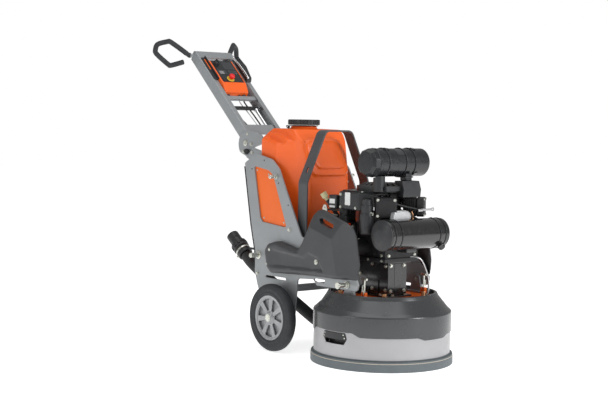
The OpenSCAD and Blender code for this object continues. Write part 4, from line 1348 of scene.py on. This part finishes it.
def rails():
    """The handle's rails and cross bars."""
    channel = [(-120, -24), (-92, -24), (-92, -20), (-116, -20), (-116, 33), (-92, 33), (-92, 37),
               (-120, 37)]
    radii = [5, 0.8, 0.8, 2, 2, 0.8, 0.8, 5]
    section = flat(fillet(channel, radii))
    for side, s in SIDES:
        run = transformed(plate(section, RAIL_LEN - 30, edge=0.5), crosswise(-RAIL_LEN))
        end = flat(fillet([(-30, -24), (20, -24), (30, -10), (30, 22), (20, 37), (-30, 37)],
                          [0, 8, 14, 14, 8, 0]))
        tip = transformed(plate(end, 4, [circle(0, 0, 10.1)], 0.6), upright(-RAIL_Y + 4))
        boss = transformed(tube_ring(20, 10.1, 8, 0.8), facing((0, -RAIL_Y + 4, 0), (0, 1, 0)))
        shapes = [run, tip, boss]
        if s > 0:
            shapes = [transformed(bm, MIRROR) for bm in shapes]
        rail = piece(f"rail_{side}", FRAME_GREY, "handle", "frame_grey", *tipped(*shapes),
                     replaces=("handle_frame",))
        hole = transformed(rounded_rod(20, 5, 0.2), facing((-60, s * RAIL_Y - 10, 10), (0, 1, 0)))
        cut_away(rail, *tipped(hole))
    span = RAIL_Y - 4
    top = [
        block((-RAIL_LEN, -span, 33), (-RAIL_LEN + 52, span, 37.2), 1),
        block((-RAIL_LEN, -span, -24), (-RAIL_LEN + 4, span, 36), 1),
        block((-330, -span, 12), (-304, span, 30), 5, 3),
        block((-108, -span, 24), (-36, span, 28), 1),
        block((-108, -span, -20), (-104, span, 26), 1),
    ]
    piece("handle_cross_parts", FRAME_GREY, "handle", "frame_grey", *tipped(*top))


def console():
    """The control console on the handle."""
    profile = [(-592, -8), (-592, 44), (-580, 54), (-402, 54), (-352, 34), (-346, -8)]
    line = flat(fillet(profile, [2, 8, 8, 12, 8, 2]))
    body = transformed(plate(line, 152, edge=4, rounds=3), upright(64))
    housing = piece("console_shell", ORANGE, "handle", "orange_plastic", *tipped(body),
                    replaces=("console_housing",))
    hollow = block((-583, -81, 45), (-409, 57, 70), 5, 2)
    under = block((-586, -82, -30), (-354, 58, 30), 3)
    well = block((-578, -79, -30), (-413, 55, 60), 3)
    for cutter in (hollow, under, well):
        cut_away(housing, *tipped(cutter))
    face_line = flat(fillet([(-582.5, -80.5), (-409.5, -80.5), (-409.5, 56.5), (-582.5, 56.5)], 5))
    face = transformed(plate(face_line, 8, [circle(-434, -22, 7.1), circle(-552, -56, 5.1)], 0.8),
                       place(z=44.4))
    ramp_line = flat(fillet([(-466, -78), (-412, -70), (-412, 46), (-466, 54)], [4, 14, 14, 4]))
    ramp = transformed(plate(ramp_line, 2.6, [circle(-434, -22, 7.1)], 0.8), place(z=52.2))
    strip = block((-622, -92, -4), (-442, -88.2, 52), 1)
    cover_line = flat(fillet([(-618, -113), (-452, -113), (-440, -104), (-440, -89), (-618, -89)], 4))
    cover = transformed(plate(cover_line, 5, edge=1), place(z=37.3))
    glands = []
    for y, r in ((-62, 13), (10, 10), (38, 14)):
        cap = lathe(fillet([(0, 0), (r, 0), (r, 7), (r * 0.75, 10), (r * 0.45, 14), (0, 14)], 1,
                           closed=False), 24)
        glands.append(transformed(cap, facing((-350, y, 8), (0.97, 0, 0.2))))
    knob_seat = transformed(tube_ring(17, 6, 3, 0.6), place(-552, -56, 52.3))
    piece("console_panel", BLACK_PLASTIC, "handle", "black_plastic",
          *tipped(face, ramp, strip, cover, knob_seat, *glands), replaces=("console_face",))
    stripe = flat(fillet([(-602, -103), (-520, -103), (-520, -97), (-602, -97)], 2.5))
    piece("console_stripe", ORANGE_PAINT, "handle", "orange_paint",
          *tipped(transformed(plate(stripe, 0.8, edge=0.2), place(z=42.2))))
    panes = []
    for a, b in (((-572, -18), (-514, 48)), ((-506, -72), (-474, -18)), ((-506, -6), (-474, 48))):
        pane = flat(fillet([(a[0], a[1]), (b[0], a[1]), (b[0], b[1]), (a[0], b[1])], 4))
        panes.append(transformed(plate(pane, 0.9, edge=0.3), place(z=52.3)))
    piece("console_panes", DISPLAY, "handle", "black_plastic", *tipped(*panes))
    lamps = []
    for k in range(4):
        lamp = flat(fillet([(-498 + k * 6, -64), (-494 + k * 6, -64), (-494 + k * 6, -36),
                            (-498 + k * 6, -36)], 1))
        lamps.append(transformed(plate(lamp, 0.5, edge=0.1), place(z=53.1)))
    piece("console_lamps", SKIRT_GREY, "handle", "skirt_grey", *tipped(*lamps))
    collar = lathe(fillet([(7.6, 0), (22, 0), (21, 4), (12, 6), (7.6, 6)], [0, 1, 2, 1, 0.4]), 48,
                   closed=True)
    piece("stop_collar", YELLOW, "handle", "orange_plastic",
          *tipped(transformed(collar, place(-434, -22, 53))))
    head = lathe(fillet([(0, 0), (6.9, 0), (6.9, 20), (16, 21), (16.4, 30), (12, 36), (0, 38)],
                        [0, 0.4, 0.4, 2, 5, 8, 0], closed=False, steps=5), 48)
    piece("stop_head", RED, "stop_button", "red_plastic", *tipped(transformed(head, place(-434, -22, 46.4))),
          replaces=("stop_button",))

    def ridged(r, z, angle):
        return r - 1.0 * max(0, math.cos(math.radians(angle * 12))) if r > 14 and 3 < z < 20 else r

    knob = lathe(fillet([(0, 0), (4.9, 0), (4.9, 8), (15.5, 8), (15, 28), (0, 30)],
                        [0, 0.3, 0.3, 1.5, 2.5, 0],
                        closed=False), 96, radius=ridged)
    pointer = block((-14, -2.5, 29), (14, 2.5, 35), 1.5)
    piece("throttle_dial", BLACK_PLASTIC, "throttle_knob", "black_plastic",
          *tipped(transformed(joined(knob, pointer), place(-552, -56, 46.4))), replaces=("throttle_knob",))


def lever_box():
    """The ribbed box beside the console."""
    line = [(-612, 37.4), (-612, 66), (-520, 76), (-440, 60), (-428, 37.4)]
    box = transformed(plate(flat(fillet(line, [3, 14, 20, 16, 3])), 33.6, edge=4, rounds=3), upright(119.8))
    ribs = [block((-604 + k * 14, 92, 60 + 0.1 * 14 * min(k, 6)),
                  (-598 + k * 14, 114, 72 + 0.5 * min(k, 6)), 1)
            for k in range(4)]
    mounts = []
    for s in (-1, 1):
        y = sorted((s * 112, s * 92))
        mounts.append(block((-RAIL_LEN - 20, y[0], -18), (-RAIL_LEN - 0.2, y[1], 22), 2.5))
    piece("lever_housing", BLACK_PLASTIC, "handle", "black_plastic", *tipped(box, *ribs))
    piece("grip_mounts", FRAME_GREY, "handle", "frame_grey", *tipped(*mounts), replaces=("handle_fittings",))
    screws = [bolt((-RAIL_LEN - 10, s * 112, 2), (0, s, 0), 7) for s in (-1, 1)]
    piece("grip_bolts", ZINC, "handle", "zinc", *tipped(*screws))
    hub = transformed(rounded_rod(12, 9, 1.5), facing((-600, 70, 66), (0, 1, 0)))
    arm = sweep(fillet([(-600, 76, 66), (-540, 75, 74), (-470, 73, 80), (-422, 72, 80)], 30, closed=False),
                [(u * 5.5, v * 3.2) for u, v in circle(0, 0, 1, 16)], up=(0, 1, 0))
    ball = transformed(rounded_rod(12, 6, 5.4), facing((-428, 72, 80), (1, 0, 0)))
    piece("release_arm", CHROME, "release_lever", "chrome", *tipped(hub, arm, ball),
          replaces=("release_lever",))


GRIP_LINE = [(20, 0), (34, 5), (86, 42), (133, 73), (144, 73), (197, 58), (210, 30), (204, 6), (141, -49),
             (125, -54), (56, -34)]


def grips():
    """Both bow grips."""
    rise = math.radians(42.2)
    corner = Vector((-906 - RAIL_LEN * math.cos(rise), -RAIL_Y + 12, 987 + RAIL_LEN * math.sin(rise)))
    out = Vector((-0.645, -0.764, 0))
    spots = [corner + out * u + Vector((0, 0, v + 4)) for u, v in GRIP_LINE]
    line = even_steps(smooth_route(spots, 10), 5)
    count = len(line)
    sizes = []
    for k in range(count):
        size = 1.0
        if k in (3, 4):
            size = 0.9
        if k > count - 3:
            size = (0.9, 0.62)[k - count + 2]
        if k == 0:
            size = 0.9
        sizes.append(size)
    for side, s in SIDES:
        bm = sweep(line, 13.6, up=(0, 0, 1), sizes=sizes)
        stub = sweep([corner - out * 4 + Vector((0, 0, 2)), spots[0] + out * 3], 10.5)
        shapes = [bm] if s < 0 else [transformed(bm, MIRROR)]
        steel = [stub] if s < 0 else [transformed(stub, MIRROR)]
        replaced = ("grips",)
        piece(f"grip_foam_{side}", FOAM, "handle", "black_rubber", *shapes, replaces=replaced, smooth=50)
        piece(f"grip_stub_{side}", FRAME_GREY, "handle", "frame_grey", *steel)


def lock_parts():
    """The lock rods and their cross bar."""
    bar = transformed(rounded_rod(214, 10.8, 1.5), facing((-262, -107, 2), (0, 1, 0)))
    piece("lock_cross_bar", BLACK_SATIN, "lock_bar", "black_paint", *tipped(bar), replaces=("lock_bar",))
    rods = []
    for s in (-1, 1):
        rods.append(transformed(rounded_rod(134, 9, 2.5), facing((-256, s * 74, 2), (1, 0, 0))))
        rods.append(transformed(tube_ring(14, 9.2, 7, 1), facing((-250, s * 74, 2), (1, 0, 0))))
        rods.append(transformed(rounded_rod(12, 11.6, 1), facing((-262, s * 90, 2), (0, s, 0))))
    piece("lock_rods", CHROME, "lock_bar", "zinc", *tipped(*rods))


def cables():
    """The control cables between the rails."""
    dark = sweep(smooth_route([(-340, 38, 6), (-322, 44, -12), (-220, 56, -15), (-109, 56, -12)], 8), 4)
    pale = sweep(smooth_route([(-338, 10, 6), (-322, 14, -12), (-230, 30, -15), (-109, 36, -12)], 8), 3)
    left = sweep(smooth_route([(-338, -62, 6), (-322, -58, -12), (-230, -50, -15), (-109, -20, -12)], 8), 3)
    piece("cable_dark", RUBBER, "handle", "black_rubber", *tipped(dark, left), replaces=("control_cables",))
    piece("cable_pale", CABLE_WHITE, "handle", "skirt_grey", *tipped(pale))


rails()
console()
lever_box()
grips()
lock_parts()
cables()


# ---------------------------------------------------------------- engine

FORE = (0, -1, 0)


def about_y(bm, x, z, y):
    """A shape about Z laid along -Y, from y outwards."""
    return transformed(bm, facing((x, y, z), FORE))


def silencer():
    """The exhaust silencer with its clamps."""
    x, z = 198, 602
    barrel = about_y(lathe(fillet([(0, -6), (62, -6), (68, 0), (68, 346), (64, 352), (0, 352)],
                                  [0, 3, 3, 3, 3, 0], closed=False), 96), x, z, 162)
    tail = sweep(fillet([(x + 20, 122, z - 30), (x + 52, 122, z - 54), (x + 60, 116, z - 60)], 10,
                        closed=False), 14)
    mouth = transformed(tube_ring(17, 12, 12, 1.5), facing((x + 54, 120, z - 54), (0.84, -0.1, -0.5)))
    legs = [sweep(fillet([(126, s * 84, 560), (146, s * 90, 556), (170, s * 92, 566)], 20, closed=False), 15)
            for s in (-1, 1)]
    rest = block((122.2, -30, 516), (188, 30, 540), 4)
    seam = sweep([(x - 12, -150, z + 67), (x - 12, 140, z + 67)],
                 [(-2, -1.2), (2, -1.2), (2, 1.2), (-2, 1.2)])
    piece("silencer_barrel", BLACK_PAINT, "head", "black_paint", barrel, tail, mouth, *legs, rest, seam,
          replaces=("muffler",))
    dome = about_y(lathe(fillet([(69.4, 0), (69.4, 6), (52, 15), (30, 22), (0, 24)], [0, 5, 20, 20, 0],
                                closed=False, steps=6), 96), x, z, -190)
    piece("silencer_dome", BLACK_PLASTIC, "head", "black_plastic", dome)
    straps = []
    for y in (-164, -126, 110, 144):
        straps.append(about_y(tube_ring(70.6, 67.6, 6, 1), x, z, y))
    for y, k in ((-150, 0), (-150, 1), (126, 0)):
        straps.append(transformed(block((66, -4, -12), (72, 4, 12), 1),
                                  facing((x, y, z), FORE, 118 + 24 * k)))
    piece("silencer_straps", BLACK_SATIN, "head", "black_paint", *straps)
    piece("silencer_bolts", ZINC, "head", "zinc", bolt((x - 46, -128, z + 53), (-0.6, 0, 0.8), 6),
          bolt((x - 20, 128, z + 66), (-0.2, 0, 0.98), 6))


def air_cleaner():
    """The air cleaner canister with its bands."""
    x, z = 72, 920

    def facets(r, height, angle):
        if height < 318 or r < 30:
            return r
        turn = (angle + 18) % 36 - 18
        return r * math.cos(math.radians(18)) / math.cos(math.radians(turn)) + 1.5

    profile = [(0, 0), (42, 0), (61, 16), (64, 20), (64, 300), (65.5, 304), (65.5, 318), (64, 322),
               (62, 346), (50, 360),
               (0, 361)]
    shell = about_y(lathe(fillet(profile, [0, 6, 6, 4, 2, 2, 1, 1, 6, 4, 0], closed=False, steps=3), 120,
                          radius=facets), x, z, 172)
    pad = block((88, 12, 838), (130, 48, 872), 3)
    clamp = block((60, 6, 852), (132, 54, 858), 2)
    piece("cleaner_shell", BLACK_SATIN, "head", "black_plastic", shell, pad, clamp,
          replaces=("air_cleaner",))
    bands = [about_y(tube_ring(68, 63.5, width, 2), x, z, y) for y, width in ((-88, 8), (16, 8), (70, 6))]
    piece("cleaner_bands", BLACK_PLASTIC, "head", "black_plastic", *bands)
    clips = []
    for y in (-70, 92):
        for turn in (20, 140, 250):
            a = math.radians(turn)
            foot = Vector((x + 66 * math.sin(a), y, z + 66 * math.cos(a)))
            out = Vector((math.sin(a), 0, math.cos(a)))
            side = Vector((math.cos(a), 0, -math.sin(a)))
            path = [foot - side * 9 - out * 1, foot - side * 7 + Vector((0, -24, 0)) + out * 3,
                    foot + side * 7 + Vector((0, -24, 0)) + out * 3, foot + side * 9 - out * 1]
            clips.append(sweep(fillet(path, 3, closed=False), 1.5))
            clips.append(transformed(block((-7, -10, -1), (7, 10, 2), 1),
                                     facing(foot + Vector((0, -8, 0)), out)))
    piece("cleaner_clips", BLACK_PAINT, "head", "black_paint", *clips)
    label = flat(fillet([(40, 0), (78, 0), (78, 46), (40, 46)], 3))
    plain = curved(label, 64.2, 0.5, 0.15)
    piece("cleaner_plain_label", DISPLAY, "head", "black_plastic", about_y(plain, x, z, 8))


def blower():
    """The blower housing with its lid, screws and label."""
    shell = [(-150, -140), (-110, -180), (20, -180), (76, -120), (76, 120), (20, 180), (-110, 180),
             (-150, 140)]
    body = transformed(plate(flat(fillet(shell, 22)), 84, edge=7, rounds=3), place(z=700))
    small = [(p[0] * 0.93, p[1] * 0.93) for p in shell]
    rim = transformed(plate(flat(fillet(small, 20)), 5, edge=2), place(z=784.1))
    housing = piece("blower_shell", BLACK_SATIN, "head", "black_plastic", body, replaces=("blower_housing",))
    lid = piece("blower_lid", BLACK_SATIN, "head", "black_plastic", rim)
    hollow = [(p[0] * 0.955, p[1] * 0.96) for p in shell]
    inside_cut = transformed(plate(flat(hollow), 78, edge=0), place(z=699))
    mouth = transformed(lathe([(0, 0), (84, 0), (84, 30), (0, 30)], 48), place(-10, 0, 770))
    banks = []
    for s in (-1, 1):
        turn = Matrix.Rotation(math.radians(40 * s), 4, "Z")
        banks.append(transformed(block((80, -54, 660), (210, 54, 772), 0), turn))
    cut_away(housing, inside_cut)
    cut_away(housing, mouth.copy())
    cut_away(lid, mouth)
    for bank in banks:
        cut_away(housing, bank)
    screws = [bolt((x, -180, z), FORE, 6) for x, z in ((-100, 712), (4, 712), (-100, 770))]
    screws += [bolt((x, y, 784), (0, 0, 1), 6) for x, y in ((-120, -140), (22, -158), (60, -80), (-120, 140),
                                                           (22, 158))]
    piece("blower_screws", ZINC, "head", "zinc", *screws)
    label = flat(fillet([(-70, 722), (-34, 722), (-34, 780), (-70, 780)], 2))
    piece("blower_plain_label", LABEL_WHITE, "head", "skirt_grey",
          transformed(plate(label, 0.6, edge=0.15), upright(-180.1)))


def riser():
    """The box under the engine."""
    body = [block((-128, -60, 314), (100, 56, 462), 3), block((-146, -78, 306), (118, 74, 314), 2),
            block((-140, -72, 462), (112, 68, 470), 2), block((96, -20, 316), (101.4, 16, 460), 1)]
    for x in (-70, 34):
        body.append(block((x, -66, 314), (x + 5, -58, 380), 1))
    piece("riser_casing", BLACK_PAINT, "head", "black_paint", *body, replaces=("riser_box",))
    bolts = [bolt((x, -60, z), FORE, 8, spin=x) for x,
             z in ((-110, 444), (-6, 452), (84, 448), (-3, 340), (84, 338),
                                                            (-110, 338), (-88, 400))]
    bolts += [bolt((100, y, z), (1, 0, 0), 8, spin=y) for y,
              z in ((-44, 450), (36, 450), (-44, 334), (40, 334))]
    bolts += [bolt((x, y, 314), (0, 0, 1), 8, spin=x) for x,
              y in ((-36, -69), (60, -69), (109, -40), (109, 40),
                                                                  (-110, -69), (20, 65))]
    piece("riser_bolts", ZINC, "head", "zinc", *bolts)


def deck():
    """The orange deck on the head."""
    plane = 306
    disc = lathe(fillet([(60, 296), (228, 296), (228, plane), (60, plane)], 1.2), 96, closed=True)
    lugs = []
    for s in (-1, 1):
        y = sorted((s * 194, s * 178))
        for a, b in ((66, 74), (86, 94)):
            lugs.append(block((a, y[0], plane), (b, y[1], 336), 2))
    piece("deck_disc", ORANGE_PAINT, "head", "orange_paint", disc, *lugs, replaces=("gear_deck",))
    ring = transformed(lathe(fillet([(196, 0), (214, 0), (214, 4), (196, 4)], 1), 96, closed=True),
                       place(z=plane + 0.1))
    piece("deck_ring", BLACK_PAINT, "head", "black_paint", ring)
    bolts = []
    for k in range(12):
        a = math.radians(15 + 30 * k)
        if abs(math.cos(a)) > 0.2:
            bolts.append(bolt((205 * math.cos(a), 205 * math.sin(a), plane + 4), (0, 0, 1), 7, spin=30 * k))
    piece("deck_bolts", ZINC, "head", "zinc", *bolts)
    springs = []
    for x, y in ((150, -128), (176, 92), (-60, -206)):
        coil = [(x + 9 * math.cos(t * 0.6), y + 9 * math.sin(t * 0.6),
                 plane + 5 + t * 0.42) for t in range(54)]
        springs.append(sweep(coil, 2))
    piece("deck_springs", COPPER, "head", "zinc", *springs)


def crankcase_details():
    """Small parts of the crankcase, the leads and the relay boxes."""
    bolts = [bolt((x, -100, z), FORE, 7, spin=z) for x,
             z in ((-100, 500), (-100, 620), (96, 500), (-60, 560))]
    bolts += [bolt((122, y, z), (1, 0, 0), 7) for y, z in ((-80, 500), (80, 500), (-80, 620), (80, 620))]
    bolts += [bolt((x, -112, 478), FORE, 6) for x in (-110, 20, 110)]
    piece("case_bolts", ZINC, "head", "zinc", *bolts)
    ribs = [block((x, -108, 500), (x + 6, -98, 636), 1.5) for x in (-84, -66, 44, 62, 84)]
    ribs += [block((120, y, 545), (129, y + 5, 634), 1.5) for y in (-60, -40, -20, 20, 40, 60)]
    piece("case_ribs", ENGINE_BLACK, "head", "black_paint", *ribs)
    filter_profile = [(0, 0), (20, 0), (27, 4), (27, 26), (24, 28), (24, 33), (27, 35), (27, 60), (20, 66),
                      (0, 66)]
    oil_filter = transformed(lathe(fillet(filter_profile, 1.2, closed=False), 40), place(-104, -150, 646))
    foot = block((-126, -150, 636), (-84, -96, 652), 3)
    relay = block((-182, -182, 700), (-128, -146, 764), 4)
    shelf = block((-200, -176, 690), (-84, -140, 697), 1.5)
    link = block((-92, -142, 640), (-84, -100, 697), 1.5)
    piece("filter_and_relay", BLACK_PLASTIC, "head", "black_plastic", oil_filter, foot, relay, shelf, link)
    tag = [transformed(plate(flat(fillet([(-176, z), (-138, z), (-138, z + h), (-176, z + h)], 1.5)), 0.5,
                             edge=0.1),
                       upright(-182.1)) for z, h in ((724, 22), (706, 9))]
    piece("relay_plain_label", LABEL_WHITE, "head", "skirt_grey", *tag)
    tab = [(-224, 668), (-190, 668), (-190, 690), (-198, 716), (-216, 716), (-224, 700)]
    tab_sheet = transformed(plate(flat(fillet(tab, 4)), 4, [circle(-207, 703, 4), circle(-207, 680, 5)],
                                  0.5),
                            upright(-180))
    stay = block((-204, -182, 668), (-118, -178, 676), 1)
    piece("zinc_tab", ZINC, "head", "zinc", tab_sheet, stay)
    lead = sweep(smooth_route([(60, -150, 772), (96, -140, 768), (130, -110, 748), (165, -20, 724),
                               (170, 40, 712),
                               (165, 70, 700)], 8), 4)
    loom = sweep(smooth_route([(90, -120, 700), (110, -130, 680), (100, -135, 640), (60, -125, 600)], 8), 5)
    piece("spark_lead", RUBBER, "head", "black_rubber", lead, loom)
    lever_line = flat(fillet([(0, -5), (62, -5), (72, -9), (84, -9), (84, 9), (72, 9), (62, 5), (0, 5)],
                             [2, 4, 4, 8, 8, 4, 4, 2]))
    lever = transformed(plate(lever_line, 3, [circle(76, 0, 4)], 0.6),
                        place(0, 62, 708) @ crosswise(176))
    lever_foot = block((150, 40, 700), (186, 68, 712), 3)
    piece("governor_lever", STEEL, "head", "steel", lever, lever_foot)
    box = transformed(plate(flat(fillet([(-112, 660), (-4, 664), (2, 690), (-20, 706), (-104, 702)], 10)),
                            26, edge=4,
                            rounds=3), crosswise(156))
    ridge = block((158, -84, 700), (178, -30, 708), 2)
    piece("intake_cover", ALUMINIUM, "head", "aluminium", box, ridge)
    clip = sweep(fillet([(190, -8, 704), (190, 0, 690), (184, 6, 674), (190, 4, 662)], 5, closed=False), 3.2)
    piece("copper_clip", COPPER, "head", "zinc", clip)
    drain = sweep(smooth_route([(112, 40, 486), (126, 76, 488), (140, 112, 470), (150, 142, 400),
                                (150, 150, 350),
                                (150, 146, 312)], 8), 4.5)
    piece("drain_pipe", STEEL, "head", "steel", drain)


def bank_covers():
    """The covers of both cylinders."""
    for side, s in SIDES:
        turn = Matrix.Rotation(math.radians(40 * s), 4, "Z")
        line = flat(fillet([(-46, 674), (46, 674), (46, 762), (-46, 762)], 12))
        cover = transformed(plate(line, 34, edge=5, rounds=3), crosswise(152.4))
        lid = transformed(plate(flat(fillet([(-36, 684), (36, 684), (36, 752), (-36, 752)], 10)), 3,
                                edge=1.2),
                          crosswise(186))
        piece(f"valve_cover_{side}", ENGINE_BLACK, "head", "black_paint",
              transformed(joined(cover, lid), turn), replaces=("cylinders",))
        fins = [transformed(plate(flat(fillet([(-50, 672), (50, 672), (50, 764), (-50, 764)], 10)), 3,
                                  edge=0.8),
                            crosswise(95 + k * 9.4)) for k in range(6)]
        core = block((90, -38, 676), (152, 38, 758), 4)
        piece(f"cylinder_fins_{side}", ENGINE_BLACK, "head", "black_paint",
              transformed(joined(core, *fins), turn))
        screws = [bolt((186, y, z), (1, 0, 0), 6) for y in (-38, 38) for z in (682, 754)]
        piece(f"cover_screws_{side}", ZINC, "head", "zinc", transformed(joined(*screws), turn))


def starter():
    """The starter motor."""
    body = lathe(fillet([(0, 0), (24, 0), (31, 6), (31, 88), (28, 96), (26, 97), (26, 128), (21, 132),
                         (21, 154),
                         (17, 158), (0, 158)], 1.5, closed=False), 48)
    stack = transformed(body, place(72, -172, 598))
    solenoid = transformed(lathe(fillet([(0, 0), (18, 0), (18, 56), (14, 60), (0, 60)], 1.5, closed=False),
                                 36),
                           place(12, -142, 608))
    straps = [transformed(tube_ring(32.4, 30.5, 8, 0.8), place(72, -172, z)) for z in (620, 672)]
    feet = [block((56, -146, 604), (88, -100.2, 632), 2), block((-4, -130, 610), (28, -100.2, 630), 2)]
    piece("starter_body", BLACK_PLASTIC, "head", "black_plastic", stack, solenoid, *straps, *feet,
          replaces=("starter_motor",))
    bolts = [bolt((72 + x, -172, 694), (0, 0, 1), 6) for x in (-28, 28)]
    bolts += [bolt((40, -168, 690), FORE, 7), bolt((104, -166, 690), FORE, 7)]
    piece("starter_bolts", ZINC, "head", "zinc", *bolts)


def latch(side, s):
    """One wire latch, mirrored on the left."""
    x, y, z = 80, 186, 328
    handle_roll = transformed(rounded_rod(36, 6, 2), facing((-18, 0, 68), (1, 0, 0)))
    pivot = transformed(rounded_rod(11, 4, 0.6), facing((-5.5, 0, 0), (1, 0, 0)))
    spine = block((-4, -4, -1), (4, 4, 64), 1.5)
    hook = [block((-2, -14, 38), (2, 0, 42), 0.8), block((-2, -14, 12), (2, -10, 42), 0.8)]
    shapes = [transformed(bm, place(x, -y, z)) for bm in (handle_roll, pivot, spine, *hook)]
    if s > 0:
        shapes = [transformed(bm, MIRROR) for bm in shapes]
    piece(f"latch_wire_{side}", ZINC, f"latch_{side}", "zinc", *shapes, replaces=(f"latch_{side}",))


silencer()
air_cleaner()
blower()
riser()
deck()
crankcase_details()
bank_covers()
starter()
latch("right", -1)
latch("left", 1)

# ---------------------------------------------------------------- the rest of the frame

for node, obj in frame["nodes"].items():
    if not obj.hide_render:
        softened(node, SLOT_FINISH[RECORD_SLOT[node]])
